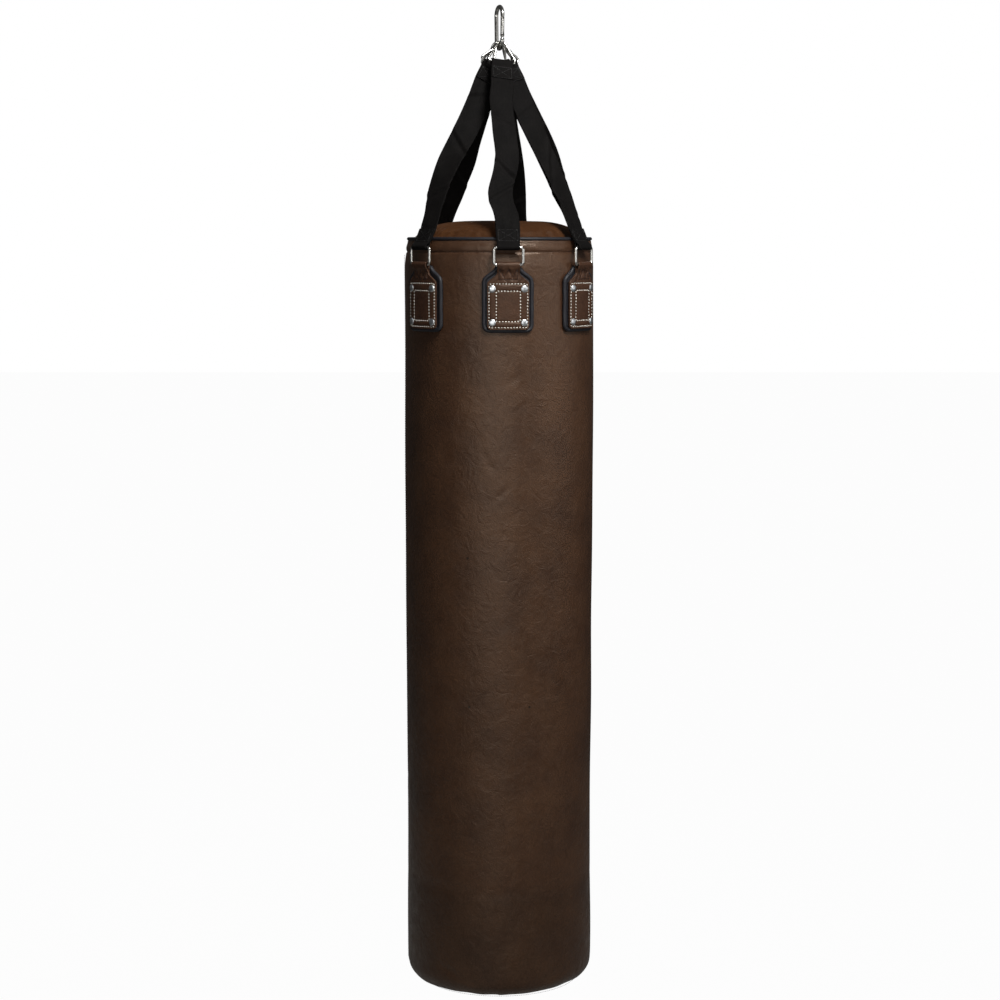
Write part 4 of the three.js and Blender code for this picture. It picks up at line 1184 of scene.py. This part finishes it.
class HEAVYBAG_OT_hook(bpy.types.Operator):
    """Makes the snap hook, its gate and pin, and the six delta rings"""

    bl_idname = "heavybag.hook"
    bl_label = "Snap hook and delta rings"

    def execute(self, context):
        steel = material("polished_zinc_steel")
        hook = piece("snap_hook", hook_surface(), steel, "carabiner")
        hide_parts("carabiner_body")
        self.gate(steel)
        radius, half = 1.5, HOOK["gate"] / 2 + 0.3
        profile = np.array([[0.05, -half - 0.3], [radius, -half], [radius, half], [0.05, half + 0.3]])
        points, quads, triangles = spun(profile, 20)
        pin = piece("hinge_pin", at_pin((points[:, [2, 0, 1]], quads, triangles)), steel, "carabiner")
        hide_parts("gate_pin")
        for where in STATIONS:
            ring = piece(f"wire_delta_{where}", delta_surface(where), material("bright_nickel_plate"), "bag")
            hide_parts(f"delta_ring_{where}")
        return {"FINISHED"}

    def gate(self, steel):
        """A round bar with chamfered ends, slotted over the two tongues by a Boolean cut."""
        radius, foot, end = HOOK["gate"] / 2, -HOOK["gate"] / 2, NOSE - 0.6
        profile = np.array([[0.05, foot], [radius - 0.8, foot], [radius, foot + 0.8], [radius, end - 0.5],
                            [radius - 0.5, end], [0.05, end]])
        rows = np.vstack([along_line(profile[k:k + 2], 8)[:-1] for k in range(5)] + [profile[-1:]])
        gate = piece("spring_gate", at_pin(spun(rows, 36)), steel, "gate")
        slot = HOOK["tongue"] / 2 + 0.3
        cuts = together([block((-slot, -8, foot - 1), (slot, 8, 5.7)),
                         block((-slot, -8, NOSE - TONGUE_LENGTH - 0.9), (slot, 8, end + 1))])
        cutter = piece("cutter", at_pin(cuts), steel, "gate")
        cut = gate.modifiers.new("slots", "BOOLEAN")
        cut.object, cut.operation, cut.solver = cutter, "DIFFERENCE", "EXACT"
        cut_mesh = settled(gate)
        cut_mesh.polygons.foreach_set("use_smooth", np.ones(len(cut_mesh.polygons), bool))
        cut_mesh.set_sharp_from_angle(angle=math.radians(35))
        bpy.data.objects.remove(cutter)
        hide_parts("carabiner_gate")


# ---- Straps ----

# How each strap strays: share of its length from the foot, spread of the bow as a share, and mm to its side
BOWS = {
    "front_left": [(0.36, 0.2, -11)],
    "front": [(0.28, 0.1, -13), (0.5, 0.07, 3), (0.8, 0.1, -4)],
    "front_right": [(0.3, 0.16, 3)],
    "back_right": [(0.5, 0.2, -4)],
    "back": [(0.4, 0.2, -4)],
    "back_left": [(0.4, 0.16, -6)],
}
# Creases across each strap: share of its length from the foot, degrees from square, mm of depth
CREASES = {
    "front_left": [(0.57, -38, 1.8), (0.3, 30, 1.0), (0.84, 28, 1.4)],
    "front": [(0.42, -42, 2.2), (0.29, 33, 1.8), (0.68, -30, 1.2), (0.15, 15, 1.0)],
    "front_right": [(0.45, 62, 1.8), (0.2, -25, 1.0), (0.75, 20, 0.9)],
    "back_right": [(0.35, -30, 1.2), (0.7, 35, 1.0)],
    "back": [(0.5, 30, 1.4), (0.25, -25, 0.9)],
    "back_left": [(0.4, 38, 1.2), (0.72, -30, 1.0)],
}


FOOT_BEND, HEAD_BEND = 1 / 6, 1 / 8  # shares of a strap's span over which it turns square to its bars
HALF_WEB = 24  # half the webbing's width, in mm
LOOP = 13 * MM  # from a bar to where the webbing lies on itself


def strap_foot(where):
    """The middle of the ring's upper bar at a tab, in metres."""
    return on_bag(np.radians(STATIONS[where]), RING_RADIUS, RING_TOP)


def strap_line(where):
    """The strap's centreline and directions, evenly spaced: a cubic curve that leaves each bar square to it,
    with the width's direction turning smoothly from one bar's to the other's."""
    middle, across, up = delta_place(where)
    head = to_row(middle + up * (APEX_RADIUS - DELTA_LENGTH))
    foot = strap_foot(where)
    foot_bar = around(np.radians(STATIONS[where]))
    head_bar = to_row(across) / MM
    head_bar = head_bar if head_bar @ foot_bar > 0 else -head_bar
    straight = head - foot
    leaving = unit(straight - foot_bar * (straight @ foot_bar))
    arriving = unit(straight - head_bar * (straight @ head_bar))
    span = np.linalg.norm(straight)
    t = np.linspace(0, 1, 400)[:, None]
    line = ((1 - t) ** 3 * foot + 3 * (1 - t) ** 2 * t * (foot + leaving * span * FOOT_BEND)
            + 3 * (1 - t) * t ** 2 * (head - arriving * span * HEAD_BEND) + t ** 3 * head)
    line = along_line(line, 400)
    total = np.linalg.norm(np.diff(line, axis=0), axis=1).sum()
    run = np.linspace(0, total, 400)
    tangent = unit(np.gradient(line, axis=0))
    turned = smooth(19 * MM, total - 19 * MM, run)[:, None]
    side = foot_bar * (1 - turned) + head_bar * turned
    side = unit(side - tangent * np.sum(side * tangent, axis=1, keepdims=True))
    return run, line, tangent, side, total


def carried(run, place, line, tangent, side, total):
    """Line, tangent, side and face directions at running lengths; past the ends the line goes on straight."""
    inside = np.clip(place, 0, total)
    at = [np.stack([np.interp(inside, run, column) for column in array.T], axis=1)
          for array in (line, tangent, side)]
    at[0] = at[0] + at[1] * (place - inside)[:, None]
    return at[0], unit(at[1]), unit(at[2]), unit(np.cross(at[1], at[2]))


def strap_route(total, sizes, face):
    """The webbing's own route as run along the centreline and offset from it: from its lower tail down to
    the ring's bar, round it, up to the delta ring's bar, round that and back down to its upper tail. face
    is 1 or -1, the side on which the tails lie."""
    lay = sizes.thickness / 2 + 0.05 * MM
    low, high = 3 * MM + 0.35 * MM + lay, 2.25 * MM + 0.3 * MM + lay
    ease = np.linspace(0, 1, 14)[1:]
    tail = sizes.fold + 4 * MM
    down = np.stack([LOOP * (1 - ease), lay + (low - lay) * smooth(0, 1, ease)], axis=1)
    turn = arc(0, 0, low, math.pi / 2, 1.5 * math.pi, 20)[1:]
    up = np.stack([LOOP * ease, -low + (low - lay) * smooth(0, 1, ease)], axis=1)
    free = np.array([[tail, -lay], [tail + 8 * MM, 0], [total - tail - 8 * MM, 0], [total - tail, -lay],
                     [total - LOOP, -lay]])
    rise = np.stack([total - LOOP * (1 - ease), -lay - (high - lay) * smooth(0, 1, ease)], axis=1)
    over = arc(total, 0, high, -math.pi / 2, math.pi / 2, 20)[1:]
    back = np.stack([total - LOOP * ease, high - (high - lay) * smooth(0, 1, ease)], axis=1)
    route = np.vstack([[[tail - 2 * MM, lay], [LOOP, lay]], down, turn, up, free, rise, over, back,
                       [[total - tail + 5 * MM, lay]]])
    return along_line(route, 420) * [1, face]


def strap_surface(where, sizes, seed, face, columns=44):
    """The webbing's section, a flat oblong with rounded edges, carried along the route. Between its sewn
    ends it cups across its width, bows sideways, ripples and has slanted creases."""
    run, line, tangent, side, total = strap_line(where)
    route = strap_route(total, sizes, face)
    heading = unit(np.gradient(route, axis=0))
    place, ahead, across, out = carried(run, route[:, 0], line, tangent, side, total)
    near = np.minimum(route[:, 0], total - route[:, 0])
    free = smooth(sizes.fold, sizes.fold + 60 * MM, near)
    width = sizes.gathered + (sizes.width - sizes.gathered) * smooth(4 * MM, sizes.fold, near)
    spread = np.linspace(-1, 1, columns // 2 - 2)
    x = np.concatenate([spread, [1.01, 1.01], spread[::-1], [-1.01, -1.01]])
    over = np.concatenate([[-0.8], np.full(len(spread) - 2, -1), [-0.8, -0.4, 0.4, 0.8],
                           np.full(len(spread) - 2, 1), [0.8, 0.4, -0.4]])
    shares = route[:, 0] / total
    generator = np.random.default_rng(100 + seed)
    phase = generator.uniform(0, TURN, 6)
    cup = sizes.cup * free * (0.45 + 0.75 * np.sin(shares * 5.1 + phase[0]))
    ripple = 1.0 * MM * free * np.sin(shares * 21 + phase[1])
    drift = 1.2 * MM * free * np.sin(shares * 7 + phase[2])
    drift = drift + free * sum(far * MM * np.exp(-((shares - at) / width_of_bow) ** 2)
                               for at, width_of_bow, far in BOWS[where])
    edges = (0.7 * MM * free[:, None] * np.sin(shares[:, None] * 34 + phase[3] + 2.2 * x[None])
             * np.abs(x)[None] ** 3)
    bunch = (0.5 * MM * smooth(0, 30 * MM, near)[:, None] * (1 - free)[:, None]
             * np.cos(x[None] * 9 + phase[4]))
    lift = (cup[:, None] * (x[None] ** 2 - 0.35) + ripple[:, None] * np.cos(x[None] * 1.9 + phase[5])
            + edges + bunch) * face
    for at, heading_off, depth in CREASES[where]:
        # a crease: a ridge on one side of a slanted line and a trough on the other, t*exp(-t^2)
        off = (route[:, :1] - at * total) / MM - x[None] * HALF_WEB * math.tan(math.radians(heading_off))
        off = off * math.cos(math.radians(heading_off)) / 6
        lift = lift + free[:, None] * depth * MM * 2.3 * off * np.exp(-off ** 2) * face
    thick = over[None] * sizes.thickness / 2
    sideways = x[None] * width[:, None] / 2 + drift[:, None]
    rings = (place[:, None] + across[:, None] * sideways[..., None]
             + out[:, None] * (route[:, 1:] + lift + thick * heading[:, :1])[..., None]
             - ahead[:, None] * (thick * heading[:, 1:])[..., None])
    surface = loft(rings)
    gone = np.concatenate([[0], np.cumsum(np.linalg.norm(np.diff(route, axis=0), axis=1))])
    uv = np.stack([np.broadcast_to(x[None] * HALF_WEB * MM, rings.shape[:2]),
                   np.broadcast_to(gone[:, None], rings.shape[:2])], axis=-1).reshape(-1, 2)
    return surface, np.vstack([uv, uv[:1], uv[-1:]]), (run, line, tangent, side, total)


def strap_stitches(curve, sizes, face):
    """A sewn box with its cross at each end, on the outer face of the doubled webbing."""
    run, line, tangent, side, total = curve
    half, low, high = 19, 13, sizes.fold / MM - 1
    box = [(-half, low), (half, low), (half, high), (-half, high), (-half, low), (half, high)]
    cross = [(half, low), (-half, high)]
    made = []
    for places, headings in (line_of_stitches(box, 4.2), line_of_stitches(cross, 4.2)):
        for from_head in (False, True):
            at = total - places[:, 1] * MM if from_head else places[:, 1] * MM
            spot, ahead, across, out = carried(run, at, line, tangent, side, total)
            lift = (sizes.thickness + 0.1 * MM) * face
            here = spot + across * places[:, :1] * MM + out * lift
            ahead = -ahead if from_head else ahead
            heading = across * headings[:, :1] + ahead * headings[:, 1:]
            made.append(stitched(here, heading, out * face, (3.2 * MM, 1.0 * MM, 0.9 * MM)))
    return together(made)


class HEAVYBAG_OT_straps(bpy.types.Operator):
    """Makes the six webbing straps and their sewn ends"""

    bl_idname = "heavybag.straps"
    bl_label = "Straps"

    def execute(self, context):
        sizes = context.scene.heavy_bag_straps
        for seed, where in enumerate(STATIONS):
            run, line, tangent, side, total = strap_line(where)
            out = outwards(np.radians(STATIONS[where]))
            face = 1 if np.cross(tangent[0], side[0]) @ out > 0 else -1
            surface, uv, curve = strap_surface(where, sizes, seed, face)
            strap = piece(f"webbing_strap_{where}", surface, material("polypropylene_webbing"), "bag",
                          uv)
            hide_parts(f"strap_{where}")
            piece(f"strap_stitching_{where}", strap_stitches(curve, sizes, face),
                  material("black_polyester_thread"), "bag")
        return {"FINISHED"}


# ---- Stage ----

FLOOR_REACH = 30  # from the middle of the floor to its edges, in m
WHITENESS = 0.975  # share of pure white with which the floor meets the eye
GLINT_AZIMUTHS = (-30, 0, 60)
GLINT_DISTANCE = 4.3
LIGHTS = [  # name, place, height above the rim at which it points, size, beam in degrees
    ("key", (1.3, -2.5, 2.2), 0.26, (1.4, 1.4), 60),
    ("front", (-0.4, -3.8, -0.65), -0.25, (3.2, 2.1), 180),
    *((f"glint_{number}", (*(GLINT_DISTANCE * np.array([math.sin(math.radians(azimuth)),
                                                        -math.cos(math.radians(azimuth))])), -0.1),
       -0.25, (0.25, 0.25), 180) for number, azimuth in enumerate(GLINT_AZIMUTHS)),
    ("side", (3.2, -1.42, -0.25), -0.25, (4.2, 1.8), 180),
    ("back", (-1.2, 3.4, 2.4), -0.25, (1.6, 1.6), 100),
]


class HEAVYBAG_OT_stage(bpy.types.Operator):
    """Makes the pale floor, the soft lights, the surroundings and the camera"""

    bl_idname = "heavybag.stage"
    bl_label = "Stage"

    def execute(self, context):
        sizes = context.scene.heavy_bag_stage
        self.camera(sizes)
        self.floor(CAD_BOX[0][2] - sizes.floor_drop)
        self.surroundings()
        for name, place, aim, size, beam in LIGHTS:
            strength = getattr(sizes, name.split("_")[0] + "_power")
            self.light(f"{name}_light", place, Vector((0, 0, RIM + aim)), strength, size, beam)
        return {"FINISHED"}

    def camera(self, sizes):
        """Level with the rim, in front of the bag, and tilted down."""
        data = bpy.data.cameras.new("camera")
        data.lens, data.sensor_width = sizes.lens, 36
        camera = shown("camera", data)
        camera.location = (1.2 * MM, -sizes.camera_distance, RIM)
        camera.rotation_euler = (math.pi / 2 - sizes.pitch, 0, 0)
        bpy.context.scene.camera = camera

    def light(self, name, place, target, power, size, spread):
        """An oblong soft light that faces a point and isn't seen itself. spread is its beam's angle."""
        data = bpy.data.lights.new(name, "AREA")
        data.shape, data.energy, data.spread = "RECTANGLE", power, math.radians(spread)
        data.size, data.size_y = size
        light = shown(name, data)
        light.location = place
        light.rotation_euler = (target - light.location).to_track_quat("-Z", "Y").to_euler()
        light.visible_camera = False
        light.visible_glossy = bool(place[1] < 0)  # the light behind leaves no glare on the cap

    def floor(self, level):
        """A wide painted floor: a plane of nine squares, white and matt, clear when seen from below."""
        corner = np.linspace(-FLOOR_REACH, FLOOR_REACH, 4)
        x, y = np.meshgrid(corner, corner)
        points = np.stack([x.ravel(), y.ravel(), np.full(x.size, level)], axis=1)
        start = (np.arange(3)[:, None] * 4 + np.arange(3)).ravel()
        faces = np.stack([start, start + 1, start + 5, start + 4], axis=1)
        mesh = bpy.data.meshes.new("floor")
        mesh.from_pydata(points.tolist(), [], faces.tolist())
        painted = bpy.data.materials.new("matt_white_paint")
        tree, output = blank(painted, "OutputMaterial")
        paint = add_node(tree, "BsdfPrincipled", inputs={
            "Base Color": four(linear("9A9A98")), "Roughness": 0.9})
        glow = add_node(tree, "Emission", inputs={"Color": (1, 1, 1, 1), "Strength": 1.0})
        clear = add_node(tree, "BsdfTransparent")
        seen = add_node(tree, "LightPath").outputs["Is Camera Ray"]
        even = add_node(tree, "Math", {"operation": "MULTIPLY"}, {0: seen, 1: WHITENESS})
        seen_paint = add_node(tree, "MixShader", inputs={0: even, 1: paint, 2: glow})
        below = add_node(tree, "NewGeometry").outputs["Backfacing"]
        mixed = add_node(tree, "MixShader", inputs={0: below, 1: seen_paint, 2: clear})
        tree.links.new(mixed.outputs[0], output.inputs[0])
        mesh.materials.append(painted)
        shown("floor", mesh)

    def surroundings(self):
        """White to the eye, and a dim even grey as a source of light."""
        world = bpy.data.worlds.new("studio")
        tree, output = blank(world, "OutputWorld")
        seen = add_node(tree, "LightPath").outputs["Is Camera Ray"]
        dim = add_node(tree, "Background", inputs={"Color": (1, 1, 1, 1), "Strength": 0.05})
        white = add_node(tree, "Background", inputs={"Color": (1, 1, 1, 1), "Strength": 1.0})
        mixed = add_node(tree, "MixShader", inputs={0: seen, 1: dim, 2: white})
        tree.links.new(mixed.outputs[0], output.inputs[0])
        bpy.context.scene.world = world
        bpy.context.scene.view_settings.view_transform = "Standard"


# ---- Panel and registration ----

class HEAVYBAG_PT_panel(bpy.types.Panel):
    """Lists the bag's sizes, colours and operators"""

    bl_label = "Heavy bag"
    bl_idname = "HEAVYBAG_PT_panel"
    bl_space_type = "VIEW_3D"
    bl_region_type = "UI"
    bl_category = "Heavy bag"

    def draw(self, context):
        for group in GROUPS:
            values = getattr(context.scene, group)
            for prop in values.bl_rna.properties:
                if prop.identifier not in ("rna_type", "name"):
                    self.layout.prop(values, prop.identifier)
        for operator in OPERATORS:
            self.layout.operator(operator.bl_idname)


GROUPS = {
    "heavy_bag_leather": HeavyBagLeather,
    "heavy_bag_stations": HeavyBagStations,
    "heavy_bag_straps": HeavyBagStraps,
    "heavy_bag_rings": HeavyBagRings,
    "heavy_bag_stage": HeavyBagStage,
}
OPERATORS = [HEAVYBAG_OT_stage, HEAVYBAG_OT_body, HEAVYBAG_OT_cap, HEAVYBAG_OT_pads, HEAVYBAG_OT_tabs,
             HEAVYBAG_OT_hook, HEAVYBAG_OT_straps]


def register():
    for made in [*GROUPS.values(), *OPERATORS, HEAVYBAG_PT_panel]:
        bpy.utils.register_class(made)
    for name, group in GROUPS.items():
        setattr(bpy.types.Scene, name, bpy.props.PointerProperty(type=group))


def unregister():
    for name in GROUPS:
        delattr(bpy.types.Scene, name)
    for made in [HEAVYBAG_PT_panel, *reversed(OPERATORS), *reversed(GROUPS.values())]:
        bpy.utils.unregister_class(made)


def main():
    register()
    bpy.ops.heavybag.stage()
    bpy.ops.heavybag.body()
    bpy.ops.heavybag.cap()
    bpy.ops.heavybag.pads()
    bpy.ops.heavybag.tabs()
    bpy.ops.heavybag.hook()
    bpy.ops.heavybag.straps()


if __name__ == "__main__":
    main()
